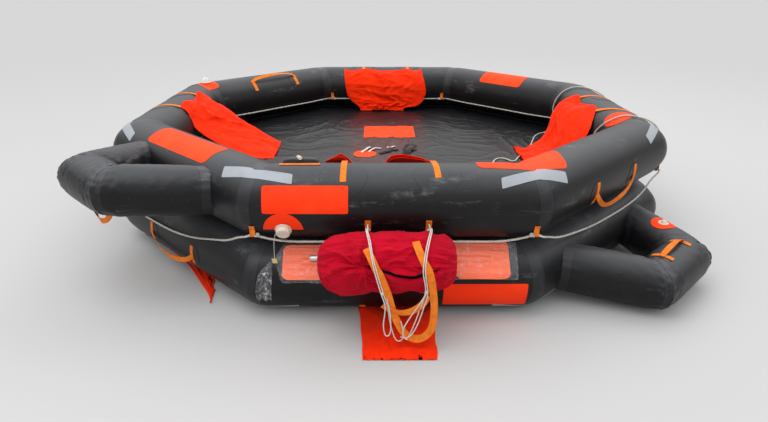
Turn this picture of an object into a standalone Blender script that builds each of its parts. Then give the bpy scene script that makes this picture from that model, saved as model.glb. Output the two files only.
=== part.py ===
"""Open reversible inflatable life raft, metres, +Z up, front towards -Y.

Two stacked eight-sided buoyancy tubes stand on the ground with a single floor sheet
clamped between them. Segment k of a ring faces the direction 45*k degrees from +X.
"""
import bmesh
import bpy
from math import cos, pi, radians, sin, sqrt, tan
from mathutils import Vector

# driving dimensions, metres
CLEAR = 0.0003              # gap between touching pieces
CLOTH = 0.003               # pocket cloth pressed flat under the lower tube
TUBE_RADIUS = 0.1545
TUBE_SIDES = 24
APOTHEM = 1.3105            # ring centre to tube centreline, square to a segment
RING_SPACING = 0.331
FRONT_REACH = 1.743         # ring centre to the hem of the front pocket on the ground
FLOOR_THICK = 0.006
WEB_WIDTH = 0.025
WEB_THICK = 0.002
ROPE_RADIUS = 0.005
CORD_RADIUS = 0.0025
RAMP_ROOT = 1.42            # distance out where a ramp's root_half and root_rise are taken
UPPER_RAMP = {"reach": 1.764, "end_half": 0.1245, "root_half": 0.2925, "radius": 0.108,
              "root_rise": 0.0045, "end_rise": 0.0505}
LOWER_RAMP = {"reach": 1.765, "end_half": 0.1675, "root_half": 0.339, "radius": 0.112,
              "root_rise": -0.0115, "end_rise": -0.037}
RAMP_SIDES = 16
PATCH_THICK = 0.0015
BAG_RADIUS = 0.118
BAG_LEFT, BAG_RIGHT = -0.325, 0.225
SHAFT_RADIUS = 0.0125
BLADE_HALF = 0.075
BLADE_THICK = 0.008
CYLINDER_RADIUS = 0.075
CYLINDER_LENGTH = 0.56
CYLINDER_ANGLE = 15         # where the bottle lies on the lower tube, up from level
STRAP_LIFT = 0.0042         # outer face of the bottle's straps above the bottle
REAR_REACH = (APOTHEM + (TUBE_RADIUS + CLEAR + CYLINDER_RADIUS) * cos(radians(CYLINDER_ANGLE))
              + CYLINDER_RADIUS + STRAP_LIFT)


def ramp_extent(shape):
    """How far a ramp's outer corner reaches along X from the ring's centre."""
    flare = (shape["root_half"] - shape["end_half"]) / (shape["reach"] - RAMP_ROOT)
    side = shape["end_half"] + shape["radius"] * (sqrt(1 + flare ** 2) - flare)
    return (shape["reach"] + shape["radius"] + side) * cos(radians(45))


RING_X = (ramp_extent(UPPER_RAMP) - ramp_extent(LOWER_RAMP)) / 2
RING_Y = (FRONT_REACH - REAR_REACH) / 2     # the ring's centre, with the whole box centred
RING_CENTRE = Vector((RING_X, RING_Y, 0))
LOWER_Z = CLOTH + CLEAR + TUBE_RADIUS
UPPER_Z = LOWER_Z + RING_SPACING
MIDDLE_Z = (LOWER_Z + UPPER_Z) / 2
FLOOR_TOP = MIDDLE_Z + FLOOR_THICK / 2
FACET = 360 / TUBE_SIDES
RIGHT, RIGHT_BACK, BACK, LEFT_BACK, LEFT, LEFT_FRONT, FRONT, RIGHT_FRONT = range(8)


# materials

def material(name, colour, roughness, metallic=0.0):
    found = bpy.data.materials.get(name)
    if found:
        return found
    made = bpy.data.materials.new(name)
    made.use_nodes = True
    shader = made.node_tree.nodes["Principled BSDF"]
    shader.inputs["Base Color"].default_value = (*colour, 1.0)
    shader.inputs["Roughness"].default_value = roughness
    shader.inputs["Metallic"].default_value = metallic
    made.diffuse_color = (*colour, 1.0)
    return made


RUBBER = ("black_rubber", (0.020, 0.021, 0.023), 0.45)
FLOOR_CLOTH = ("floor_cloth", (0.014, 0.015, 0.017), 0.32)
POCKET_CLOTH = ("pocket_cloth", (0.90, 0.06, 0.01), 0.7)
BAG_CLOTH = ("bag_cloth", (0.55, 0.008, 0.03), 0.75)
PATCH_RUBBER = ("orange_rubber", (0.90, 0.10, 0.01), 0.55)
WEBBING = ("orange_webbing", (0.80, 0.20, 0.02), 0.8)
ROPE = ("lifeline_rope", (0.72, 0.71, 0.66), 0.85)
PADDLE_PLASTIC = ("paddle_plastic", (0.90, 0.12, 0.02), 0.4)
METAL = ("bare_metal", (0.60, 0.61, 0.62), 0.35, 1.0)
WHITE_PLASTIC = ("white_plastic", (0.80, 0.79, 0.75), 0.4)
CLEAR_PLASTIC = ("clear_plastic", (0.85, 0.87, 0.88), 0.15)
CYLINDER_PAINT = ("cylinder_paint", (0.10, 0.13, 0.11), 0.45)


# places

def place(k, out, side, z):
    """A point `out` from the ring's axis and `side` along segment k."""
    a = radians(45 * k)
    return RING_CENTRE + Vector((out * cos(a) - side * sin(a), out * sin(a) + side * cos(a), z))


def on_tube(k, side, angle, ring_z, lift=CLEAR):
    """A point `lift` above the faceted tube; angle 0 faces out and 90 up."""
    off = radians(angle - FACET * round(angle / FACET))
    r = (TUBE_RADIUS + lift) / cos(off)
    return place(k, APOTHEM + r * cos(radians(angle)), side, ring_z + r * sin(radians(angle)))


def on_ramp_end(k, shape, side, angle, ring_z, lift=CLEAR):
    """A point `lift` above the tube across a ramp's far end."""
    facet = 360 / RAMP_SIDES
    off = radians(angle - facet * round(angle / facet))
    r = (shape["radius"] + lift) / cos(off)
    z = ring_z + shape["end_rise"] + r * sin(radians(angle))
    return place(k, shape["reach"] + r * cos(radians(angle)), side, z)


def facet_angles(start, end, facet=FACET):
    """The angles from start to end with every edge of the tube's facets between them."""
    low, high = min(start, end), max(start, end)
    edges = [facet * (i + 0.5) for i in range(-40, 41)]
    inner = [e for e in edges if low + 0.01 < e < high - 0.01]
    angles = [low] + inner + [high]
    return angles if start < end else angles[::-1]


# solids

def finish(name, bm, look, smooth=True):
    bmesh.ops.recalc_face_normals(bm, faces=bm.faces)
    mesh = bpy.data.meshes.new(name)
    bm.to_mesh(mesh)
    bm.free()
    made = bpy.data.objects.new(name, mesh)
    bpy.context.scene.collection.objects.link(made)
    mesh.materials.append(material(*look))
    if smooth:
        mesh.shade_smooth()
        mesh.set_sharp_from_angle(angle=radians(35))
    return made


def add_sections(bm, sections, closed=False):
    """Bridge equal rings of points into a body, with end caps unless it closes on itself."""
    rings = [[bm.verts.new(p) for p in points] for points in sections]
    count = len(rings[0])
    pairs = list(zip(rings, rings[1:]))
    if closed:
        pairs.append((rings[-1], rings[0]))
    for a, b in pairs:
        for i in range(count):
            j = (i + 1) % count
            bm.faces.new((a[i], a[j], b[j], b[i]))
    if not closed:
        bm.faces.new(rings[0])
        bm.faces.new(rings[-1][::-1])


def body(name, look, groups, closed=False, smooth=True):
    """One node from one or more groups of sections, each a separate solid."""
    bm = bmesh.new()
    for sections in groups:
        add_sections(bm, sections, closed)
    return finish(name, bm, look, smooth)


def round_section(centre, u, v, radius, sides, turn=0.5):
    """Points of a round section that lies flat on its u and v directions."""
    r = radius / cos(pi / sides)
    step = 2 * pi / sides
    return [centre + u * (r * cos(step * (i + turn))) + v * (r * sin(step * (i + turn)))
            for i in range(sides)]


def pipe(points, radius, sides=12, up=Vector((0, 0, 1))):
    """Sections of a round tube along points, mitred at its bends as seen along `up`."""
    def level(v):
        return (v - up * v.dot(up)).normalized()

    sections = []
    for i, p in enumerate(points):
        before = level(p - points[i - 1]) if i > 0 else None
        after = level(points[i + 1] - p) if i < len(points) - 1 else None
        ahead = (before + after).normalized() if before and after else (before or after)
        across = ahead.cross(up).normalized()
        lean = ahead.dot(after or before)
        ring = round_section(p, across / lean, up, radius, sides)
        sections.append(ring)
    return sections


def turned(start, axis, profile, sides=16):
    """Sections of a turned body: profile is (distance along axis, radius) pairs."""
    axis = axis.normalized()
    helper = Vector((0, 0, 1)) if abs(axis.z) < 0.9 else Vector((1, 0, 0))
    u = axis.cross(helper).normalized()
    v = axis.cross(u)
    return [round_section(start + axis * d, u, v, r, sides) for d, r in profile]


def lay_round(spot, facet, sides, start, end, width, lift, thick, end_thick):
    """Sections of a strap laid round a tube; spot gives a point from (side, angle, lift)."""
    half = width / 2
    first, last = sides
    sections = []
    for a in facet_angles(start, end, facet):
        t = (a - start) / (end - start)
        top = lift + thick + (end_thick - thick) * t
        side = first + (last - first) * t
        sections.append([spot(side - half, a, lift), spot(side + half, a, lift),
                         spot(side + half, a, top), spot(side - half, a, top)])
    return sections


def wrap(k, side, start, end, ring_z, width, lift=CLEAR, thick=WEB_THICK, end_thick=None,
         end_side=None):
    """Sections of a strap laid round a ring's tube from one angle to another."""
    sides = (side, side if end_side is None else end_side)
    return lay_round(lambda s, a, up: on_tube(k, s, a, ring_z, up), FACET, sides, start, end, width,
                     lift, thick, thick if end_thick is None else end_thick)


def ribbon(points, normals, thick, width):
    """Sections of a flat strap: its inner face through the points, its outer along the normals."""
    sections = []
    for i, (p, normal) in enumerate(zip(points, normals)):
        ahead = (points[min(i + 1, len(points) - 1)] - points[max(i - 1, 0)]).normalized()
        side = ahead.cross(normal).normalized() * (width / 2)
        sections.append([p - side, p + side, p + side + normal * thick, p - side + normal * thick])
    return sections


def smooth_path(points, count):
    """Points on a smooth curve through the given points, evenly spread by length."""
    pts = [Vector(p) for p in points]
    ends = [pts[0] * 2 - pts[1]] + pts + [pts[-1] * 2 - pts[-2]]
    fine = []
    for i in range(1, len(ends) - 2):
        a, b, c, d = ends[i - 1:i + 3]
        for s in range(16):
            t = s / 16
            fine.append(0.5 * (2 * b + (c - a) * t + (2 * a - 5 * b + 4 * c - d) * t * t
                               + (3 * b - a - 3 * c + d) * t ** 3))
    fine.append(pts[-1])
    total = sum((q - p).length for p, q in zip(fine, fine[1:]))
    step = total / (count - 1)
    spread, walked = [fine[0]], 0.0
    for p, q in zip(fine, fine[1:]):
        length = (q - p).length
        while length > 0 and walked + length >= step * len(spread) - 1e-9 and len(spread) < count - 1:
            spread.append(p.lerp(q, (step * len(spread) - walked) / length))
        walked += length
    spread.append(fine[-1])
    return spread


def cord(name, points, radius, look, resolution=2, closed=False):
    """A round cord as a curve with a bevel and filled ends."""
    curve = bpy.data.curves.new(name, "CURVE")
    curve.dimensions = "3D"
    spline = curve.splines.new("POLY")
    spline.points.add(len(points) - 1)
    for point, where in zip(spline.points, points):
        point.co = (*where, 1.0)
    spline.use_cyclic_u = closed
    curve.bevel_depth = radius
    curve.bevel_resolution = resolution
    curve.use_fill_caps = not closed
    curve.materials.append(material(*look))
    made = bpy.data.objects.new(name, curve)
    bpy.context.scene.collection.objects.link(made)
    return made


def join(target, groups, name="part"):
    """Fuse more sections into a body with one union."""
    extra = body(target.name + "_" + name, RUBBER, groups)
    step = target.modifiers.new("join_" + name, "BOOLEAN")
    step.operation = "UNION"
    step.solver = "EXACT"
    step.object = extra
    extra.hide_render = True
    extra.display_type = "WIRE"
    return target


def cut(target, cutter):
    """Take the cutter's volume out of the target and keep the cutter hidden."""
    step = target.modifiers.new("cut_" + cutter.name, "BOOLEAN")
    step.operation = "DIFFERENCE"
    step.solver = "EXACT"
    step.object = cutter
    cutter.hide_render = True
    cutter.display_type = "WIRE"


# buoyancy tubes and floor

def ring_sections(ring_z, radius, sides=TUBE_SIDES):
    """Mitred sections at the eight corners of a ring."""
    sections = []
    for k in range(8):
        a = radians(22.5 + 45 * k)
        out = Vector((cos(a), sin(a), 0))
        centre = RING_CENTRE + out * (APOTHEM / cos(radians(22.5))) + Vector((0, 0, ring_z))
        sections.append(round_section(centre, out / cos(radians(22.5)), Vector((0, 0, 1)),
                                      radius, sides))
    return sections


def octagon_slab(inner, outer, low, high):
    """Sections of an eight-sided band between two apothems and two heights."""
    sections = []
    for k in range(8):
        a = radians(22.5 + 45 * k)
        out = Vector((cos(a), sin(a), 0)) / cos(radians(22.5))
        sections.append([RING_CENTRE + out * inner + Vector((0, 0, low)),
                         RING_CENTRE + out * outer + Vector((0, 0, low)),
                         RING_CENTRE + out * outer + Vector((0, 0, high)),
                         RING_CENTRE + out * inner + Vector((0, 0, high))])
    return sections


def make_tubes_and_floor():
    body("upper_buoyancy_tube", RUBBER, [ring_sections(UPPER_Z, TUBE_RADIUS)], closed=True)
    body("lower_buoyancy_tube", RUBBER, [ring_sections(LOWER_Z, TUBE_RADIUS)], closed=True)
    facet_half = TUBE_RADIUS * tan(pi / TUBE_SIDES)
    inner, outer = APOTHEM - facet_half, APOTHEM + facet_half
    bm = bmesh.new()
    corners = []
    for z in (FLOOR_TOP - FLOOR_THICK, FLOOR_TOP):
        corners.append([bm.verts.new(RING_CENTRE + Vector((0, 0, z)) + Vector((cos(a), sin(a), 0))
                                     * (outer / cos(radians(22.5))))
                        for a in (radians(22.5 + 45 * k) for k in range(8))])
    for k in range(8):
        j = (k + 1) % 8
        bm.faces.new((corners[0][k], corners[0][j], corners[1][j], corners[1][k]))
    bm.faces.new(corners[0][::-1])
    bm.faces.new(corners[1])
    finish("raft_floor", bm, FLOOR_CLOTH, smooth=False)
    body("upper_seam_band", RUBBER, [octagon_slab(
        inner, outer, FLOOR_TOP + CLEAR, UPPER_Z - TUBE_RADIUS - CLEAR)], True, False)
    body("lower_seam_band", RUBBER, [octagon_slab(
        inner, outer, LOWER_Z + TUBE_RADIUS + CLEAR, FLOOR_TOP - FLOOR_THICK - CLEAR)], True, False)


# boarding ramps

def ramp_spot(k, shape, out, turn, ring_z):
    """A point on the centreline of a ramp's arm; turn is -1 or 1 for its two arms."""
    t = (out - RAMP_ROOT) / (shape["reach"] - RAMP_ROOT)
    half = shape["root_half"] + (shape["end_half"] - shape["root_half"]) * t
    rise = shape["root_rise"] + (shape["end_rise"] - shape["root_rise"]) * t
    return place(k, out, turn * half, ring_z + rise)


def ramp(name, k, ring_z, shape):
    """A U of tube glued to the outside of one segment, open in the middle."""
    points = [ramp_spot(k, shape, APOTHEM, -1, ring_z), ramp_spot(k, shape, shape["reach"], -1, ring_z),
              ramp_spot(k, shape, shape["reach"], 1, ring_z), ramp_spot(k, shape, APOTHEM, 1, ring_z)]
    made = body(name, RUBBER, [pipe(points, shape["radius"], RAMP_SIDES)])
    cutter = body(name + "_seat", RUBBER, [ring_sections(ring_z, TUBE_RADIUS + CLEAR)], closed=True)
    cut(made, cutter)
    inner = body(name + "_inside", RUBBER, [ramp_inside(k, ring_z)])
    cut(made, inner)


def ramp_inside(k, centre_z):
    """A block that holds all of the ramp that lies within its ring's centreline."""
    half, low, high = 0.9, centre_z - 0.3, centre_z + 0.3
    near, far = 0.9, APOTHEM + 0.05
    return [[place(k, o, -half, low), place(k, o, half, low), place(k, o, half, high),
             place(k, o, -half, high)] for o in (near, far)]


def ramp_valve(name, k, shape, ring_z, up):
    """A small valve on the ramp's back arm, on its top or, with up -1, on its underside."""
    near = ramp_spot(k, shape, RAMP_ROOT, 1 if k == RIGHT_FRONT else -1, ring_z)
    far = ramp_spot(k, shape, shape["reach"], 1 if k == RIGHT_FRONT else -1, ring_z)
    along = (far - near).normalized()
    across = along.cross(Vector((0, 0, 1))).normalized()
    normal = across.cross(along) * up
    twist = 0.0013              # the arm's top facet twists by this much under the valve
    base = near + along * 0.224 + Vector((0, 0, up * shape["radius"])) + normal * (CLEAR + twist)
    body(name, METAL, [turned(base, normal, (
        (0.0, 0.014), (0.003, 0.014), (0.004, 0.010), (0.012, 0.010), (0.014, 0.008)), 12)])


def make_ramps():
    ramp("upper_boarding_ramp", LEFT_FRONT, UPPER_Z, UPPER_RAMP)
    ramp("lower_boarding_ramp", RIGHT_FRONT, LOWER_Z, LOWER_RAMP)
    ramp_valve("upper_ramp_valve", LEFT_FRONT, UPPER_RAMP, UPPER_Z, -1)
    ramp_valve("lower_ramp_valve", RIGHT_FRONT, LOWER_RAMP, LOWER_Z, 1)


# glued patches and signs, all blank

def patch(name, k, ring_z, side, width, start, end):
    body(name, PATCH_RUBBER, [wrap(k, side, start, end, ring_z, width, CLEAR, PATCH_THICK)])


def make_patches():
    patch("upper_boarding_sign", FRONT, UPPER_Z, -0.353, 0.338, 42, 0)
    patch("lower_boarding_sign", FRONT, LOWER_Z, 0.380, 0.350, 6.7, -39.5)
    patch("patch_left_front", LEFT_FRONT, UPPER_Z, -0.010, 0.520, 50, 102)
    patch("patch_right_back", RIGHT_BACK, UPPER_Z, 0.015, 0.350, 82.5, 142)
    low = FLOOR_TOP + CLEAR
    high = low + PATCH_THICK
    width, back, front = 0.350, 0.580, 0.278
    sections = [[place(FRONT, -back, x, low), place(FRONT, -front, x, low),
                 place(FRONT, -front, x, high), place(FRONT, -back, x, high)]
                for x in (0.006 - width / 2, 0.006 + width / 2)]
    body("floor_centre_patch", PATCH_RUBBER, [sections], smooth=False)
    body("floor_disc", PATCH_RUBBER, [turned(
        place(FRONT, 0.121, -0.150, low), Vector((0, 0, 1)), ((0.0, 0.070), (0.003, 0.070)), 24)])


# water pockets

def hanging_pocket(name, k, top, rows):
    """A pocket over the upper tube's inner side that lies on the floor.

    top is the two sides at the tube's top, and rows give (out, side, side) on the floor.
    """
    start, end = 98.0, 180.0
    drop_thick, lie_thick = 0.008, 0.014
    inner = APOTHEM - TUBE_RADIUS - CLEAR
    lie = FLOOR_TOP + CLEAR
    turn_in = rows[0]
    spots = []
    for a in facet_angles(start, end):
        t = (a - start) / (end - start) * 0.7
        sides = [s + (r - s) * t for s, r in zip(top, turn_in[1:])]
        ends = [on_tube(k, s, a, UPPER_Z) for s in sides]
        normal = (ends[0] - place(k, APOTHEM, sides[0], UPPER_Z)).normalized()
        spots.append((ends, normal, drop_thick))
    inward = place(k, 0, 0, 0) - place(k, 1, 0, 0)
    slant = (inward + Vector((0, 0, 1))).normalized()
    spots.append(([place(k, inner - 0.004, s, lie + 0.055) for s in turn_in[1:]], inward, drop_thick))
    spots.append(([place(k, inner - 0.030, s, lie + 0.012) for s in turn_in[1:]], slant, drop_thick))
    for out, left, right in rows:
        spots.append(([place(k, out, s, lie) for s in (left, right)], Vector((0, 0, 1)), lie_thick))
    sections = [[a, b, b + normal * thick, a + normal * thick] for (a, b), normal, thick in spots]
    return body(name, POCKET_CLOTH, [sections])


def flat_pocket(name, k, reach, widths):
    """A pocket under the lower tube, pressed flat there and lying on the ground inside it."""
    inner = APOTHEM - TUBE_RADIUS - CLEAR
    rows = [(APOTHEM + 0.06, CLOTH), (APOTHEM - 0.04, CLOTH), (inner - 0.02, 0.030),
            (inner - reach, 0.030)]
    sections = []
    for i, (out, thick) in enumerate(rows):
        half = (widths[0] + (widths[1] - widths[0]) * i / (len(rows) - 1)) / 2
        sections.append([place(k, out, -half, 0), place(k, out, half, 0),
                         place(k, out, half, thick), place(k, out, -half, thick)])
    return body(name, POCKET_CLOTH, [sections])


def front_lower_pocket():
    """The front pocket under the raft, spread forward over the ground."""
    front_out = FRONT_REACH
    rows = [(APOTHEM - 0.05, CLOTH, 0.345), (APOTHEM + 0.06, CLOTH, 0.340), (APOTHEM + 0.10, 0.012, 0.330),
            (APOTHEM + 0.20, 0.022, 0.310), (front_out - 0.05, 0.014, 0.285), (front_out, 0.010, 0.280)]
    middle = 0.018
    sections = [[place(FRONT, o, middle - w / 2, 0.0), place(FRONT, o, middle + w / 2, 0.0),
                 place(FRONT, o, middle + w / 2, t), place(FRONT, o, middle - w / 2, t)]
                for o, t, w in rows]
    return body("lower_pocket_front", POCKET_CLOTH, [sections])


def left_lower_pocket():
    """The left pocket, pressed flat under the tubes with its tip out past the left-front one."""
    outline = ((-1.370, -0.120), (-1.370, -0.520), (-1.054, -0.916), (-0.820, -1.317),
               (-0.826, -1.229), (-0.846, -1.115), (-1.010, -0.300))
    bm = bmesh.new()
    low = [bm.verts.new(RING_CENTRE + Vector((x, y, 0))) for x, y in outline]
    high = [bm.verts.new(v.co + Vector((0, 0, CLOTH))) for v in low]
    count = len(outline)
    for i in range(count):
        j = (i + 1) % count
        bm.faces.new((low[i], low[j], high[j], high[i]))
    bm.faces.new(low[::-1])
    bm.faces.new(high)
    return finish("lower_pocket_left", bm, POCKET_CLOTH, smooth=False)


def upper_straps(pocket, k, straps):
    """The pocket's two straps, glued over the top of the upper tube."""
    return join(pocket, [wrap(k, side, end, 104, UPPER_Z, WEB_WIDTH, 2 * CLEAR, end_side=top)
                         for side, end, top in straps], "straps")


def lower_straps(pocket, k, sides):
    """The pocket's two straps, from the tube's outer side down to the cloth on the ground."""
    groups = []
    half = WEB_WIDTH / 2
    for side in sides:
        strap = wrap(k, side, -44, -64, LOWER_Z, WEB_WIDTH, 2 * CLEAR)
        foot = APOTHEM + 0.050
        strap.append([place(k, foot, side - half, 0.0028), place(k, foot, side + half, 0.0028),
                      place(k, foot, side + half, 0.0008), place(k, foot, side - half, 0.0008)])
        groups.append(strap)
    return join(pocket, groups, "straps")


def make_pockets():
    straps = {"front": ((-0.205, 48, -0.205), (0.172, 55, 0.160)),
              "back": ((-0.165, 70, -0.165), (0.190, 70, 0.190)),
              "left": ((-0.190, 58, -0.200), (0.186, 58, 0.155)),
              "right": ((-0.340, 62, -0.180), (0.060, 62, 0.185))}
    upper = {"front": (FRONT, (-0.225, 0.185), ((1.08, -0.235, 0.215), (0.856, -0.265, 0.230))),
             "back": (BACK, (-0.298, 0.348), ((1.09, -0.235, 0.255), (1.035, -0.200, 0.235))),
             "left": (LEFT, (-0.225, 0.175), ((1.08, -0.185, 0.290), (0.86, -0.100, 0.310),
                                              (0.700, -0.026, 0.290), (0.656, 0.120, 0.252))),
             "right": (RIGHT, (-0.205, 0.205), ((1.08, -0.330, 0.230), (0.994, -0.360, 0.177),
                                                (0.879, -0.390, -0.062), (0.792, -0.410, -0.190)))}
    for name, (k, top, rows) in upper.items():
        upper_straps(hanging_pocket("upper_pocket_" + name, k, top, rows), k, straps[name])
    for name, k in (("back", BACK), ("right", RIGHT)):
        lower_straps(flat_pocket("lower_pocket_" + name, k, 0.40, (0.56, 0.40)), k, (-0.175, 0.175))
    lower_straps(front_lower_pocket(), FRONT, (-0.135, 0.170))
    lower_straps(left_lower_pocket(), LEFT, (0.17, 0.47))


# lifelines

def line_points(even, odd, special=None):
    """A lifeline's points round the ring from (side, out, z) lists for its two kinds of segment.

    The even segments hold the tabs, and special gives a segment its own list.
    """
    points = []
    for k in range(8):
        rows = (special or {}).get(k, odd if k % 2 else even)
        points += [place(k, out, side, z) for side, out, z in rows]
    return points


def rope_round(name, points, look, tabs):
    """A closed rope through the points, fused to the tabs that hold it."""
    count = len(points)
    sections = []
    for i, p in enumerate(points):
        ahead = (points[(i + 1) % count] - points[i - 1]).normalized()
        u = ahead.cross(Vector((0, 0, 1))).normalized()
        sections.append(round_section(p, u, u.cross(ahead), ROPE_RADIUS, 8))
    return join(body(name, look, [sections], closed=True), tabs, "tabs")


def make_lifelines():
    off = ROPE_RADIUS + 0.0045          # rope's centre off the tube where a tab holds it
    cover = off + ROPE_RADIUS + WEB_THICK
    held = TUBE_RADIUS + off
    tab_width = 0.022

    def held_at(side, angle, ring_z):
        return side, APOTHEM + held * cos(radians(angle)), ring_z + held * sin(radians(angle))

    hang = UPPER_Z - 0.135
    out = APOTHEM + 0.1195              # plane in which the slack rope hangs
    tab_side, tab_angle = 0.570, -39
    left_tab, right_tab = (held_at(s, tab_angle, UPPER_Z) for s in (-tab_side, tab_side))
    corner = (0.5975, APOTHEM + 0.131, UPPER_Z - 0.109)
    even = [left_tab, (-0.500, out + 0.003, hang + 0.012), (-0.420, out, hang), (-0.280, out, hang - 0.001),
            (-0.140, out, hang), (0.0, out, hang + 0.001), (0.140, out, hang), (0.280, out, hang - 0.001),
            (0.420, out, hang), (0.500, out + 0.003, hang + 0.012), right_tab, corner]
    sagging = ((-0.530, -0.135), (-0.420, -0.170), (-0.240, -0.198), (-0.100, -0.212), (0.060, -0.2165),
               (0.220, -0.2155), (0.350, -0.205), (0.440, -0.186), (0.530, -0.145))
    odd = [(side, out + 0.001, UPPER_Z + drop) for side, drop in sagging]
    odd.append((corner[0] - 0.001, corner[1], corner[2]))
    rest = 20                           # the slackest stretch lies on the lower tube at this angle
    slack = [(-0.520, APOTHEM + 0.146, UPPER_Z - 0.160), (-0.430, APOTHEM + 0.155, UPPER_Z - 0.225)]
    slack += [held_at(s, a, LOWER_Z) for s, a in ((-0.330, rest), (-0.200, rest - 1), (-0.070, rest),
                                                  (0.060, rest + 4), (0.180, rest + 11), (0.300, 42))]
    slack += [(0.420, APOTHEM + 0.121, UPPER_Z - 0.186), (0.520, APOTHEM + 0.124, UPPER_Z - 0.140),
              odd[-1]]
    outer = line_points(even, odd, {LEFT_FRONT: slack})
    evens = (RIGHT, BACK, LEFT, FRONT)
    outer_tabs = [wrap(k, s, -26, -47, UPPER_Z, tab_width, CLEAR, WEB_THICK, cover)
                  for k in evens for s in (-tab_side, tab_side)]
    rope_round("outer_lifeline", outer, ROPE, outer_tabs)

    inner_tab = 0.440

    def inner_line(ring_z, up):
        at = 180 + 27 * up
        tabs_at = [held_at(s, at, ring_z) for s in (-inner_tab, -0.22, 0.0, 0.22, inner_tab)]
        out_in, z = tabs_at[0][1], tabs_at[0][2]
        turn = (0.4820, out_in, z)
        between = [(s, out_in, z - 0.004) for s in (-0.30, -0.10, 0.10, 0.30)]
        return line_points(tabs_at + [turn], between + [turn])

    upper_tabs = [wrap(k, s, 191, 212, UPPER_Z, tab_width, CLEAR, WEB_THICK, cover)
                  for k in evens for s in (-inner_tab, inner_tab)]
    under_tabs = [wrap(k, s, 169, 148, LOWER_Z, tab_width, CLEAR, WEB_THICK, cover)
                  for k in evens for s in (-inner_tab, inner_tab)]
    rope_round("upper_inner_lifeline", inner_line(UPPER_Z, 1), ROPE, upper_tabs)
    rope_round("lower_inner_lifeline", inner_line(LOWER_Z, -1), ROPE, under_tabs)


# loose lines at the right side

LINE_LIFT = ROPE_RADIUS + 0.0026        # a loose line's centre off the tube it lies on


def make_loose_lines():
    """A line tied to the inner lifeline that crosses the right tube twice, and its tail."""
    over = ((0.463, 203.6), (0.467, 192), (0.466, 176), (0.462, 160), (0.456, 143), (0.447, 128),
            (0.424, 110), (0.392, 94), (0.345, 80), (0.300, 66), (0.272, 50), (0.250, 32), (0.228, 15),
            (0.205, 0))
    back_over = ((-0.455, 0), (-0.487, 15), (-0.503, 32), (-0.512, 50), (-0.510, 66), (-0.492, 80),
                 (-0.462, 94), (-0.436, 108), (-0.425, 122), (-0.403, 139), (-0.375, 156), (-0.356, 172),
                 (-0.350, 188), (-0.348, 203.6))
    hang_out = APOTHEM + TUBE_RADIUS + LINE_LIFT
    hanging = ((0.178, -0.030), (0.120, -0.062), (0.020, -0.083), (-0.125, -0.090), (-0.270, -0.083),
               (-0.372, -0.062), (-0.430, -0.030))
    route = [on_tube(RIGHT, side, angle, UPPER_Z, LINE_LIFT) for side, angle in over]
    route += [place(RIGHT, hang_out, side, UPPER_Z + drop) for side, drop in hanging]
    route += [on_tube(RIGHT, side, angle, UPPER_Z, LINE_LIFT) for side, angle in back_over]
    cord("crossing_line", smooth_path(route, 80), ROPE_RADIUS, ROPE, 2)

    floor_z = FLOOR_TOP + ROPE_RADIUS + 0.0006
    tail = [on_tube(RIGHT, 0.463, 210.6, UPPER_Z, LINE_LIFT), place(RIGHT, 1.166, 0.458, 0.390),
            place(RIGHT, 1.152, 0.448, 0.362), place(RIGHT, 1.125, 0.430, 0.340)]
    lying = ((1.085, 0.405), (1.040, 0.370), (0.995, 0.300), (0.952, 0.185), (0.908, 0.065),
             (0.860, -0.030), (0.811, -0.120), (0.768, -0.205), (0.742, -0.258), (0.718, -0.262),
             (0.700, -0.228), (0.672, -0.205), (0.640, -0.220), (0.616, -0.262), (0.602, -0.310))
    tail += [place(RIGHT, out, side, floor_z) for out, side in lying]
    cord("line_tail", smooth_path(tail, 60), ROPE_RADIUS, ROPE, 2)


# grab handles

def grab_handle(name, spot, facet, sides, ends, web, belly, rise, half):
    """A webbing handle: two glued end pieces and a strap that stands off the tube.

    ends are the angles that the end pieces cover, and the strap goes from angle web at them
    to angle belly midway; half is half the strap's width as an angle.
    """
    tabs = [lay_round(spot, facet, (s, s), ends[0], ends[1], 0.030, CLEAR, WEB_THICK, WEB_THICK)
            for s in sides]
    base = CLEAR + WEB_THICK * 0.6
    first, last = sides
    stations = ((first - 0.012, 0, 0), (first + 0.012, 0, 0), (first + 0.05, 0.7, 0.5),
                (first + (last - first) * 0.36, 0.97, 0.93), (first + (last - first) * 0.64, 0.97, 0.93),
                (last - 0.05, 0.7, 0.5), (last - 0.012, 0, 0), (last + 0.012, 0, 0))
    strap = []
    for side, up, sag in stations:
        angle = web + (belly - web) * sag
        low = base + rise * up
        high = low + 0.003
        strap.append([spot(side, angle - half, low), spot(side, angle + half, low),
                      spot(side, angle + half, high), spot(side, angle - half, high)])
    join(body(name, WEBBING, [strap]), tabs, "ends")


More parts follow.
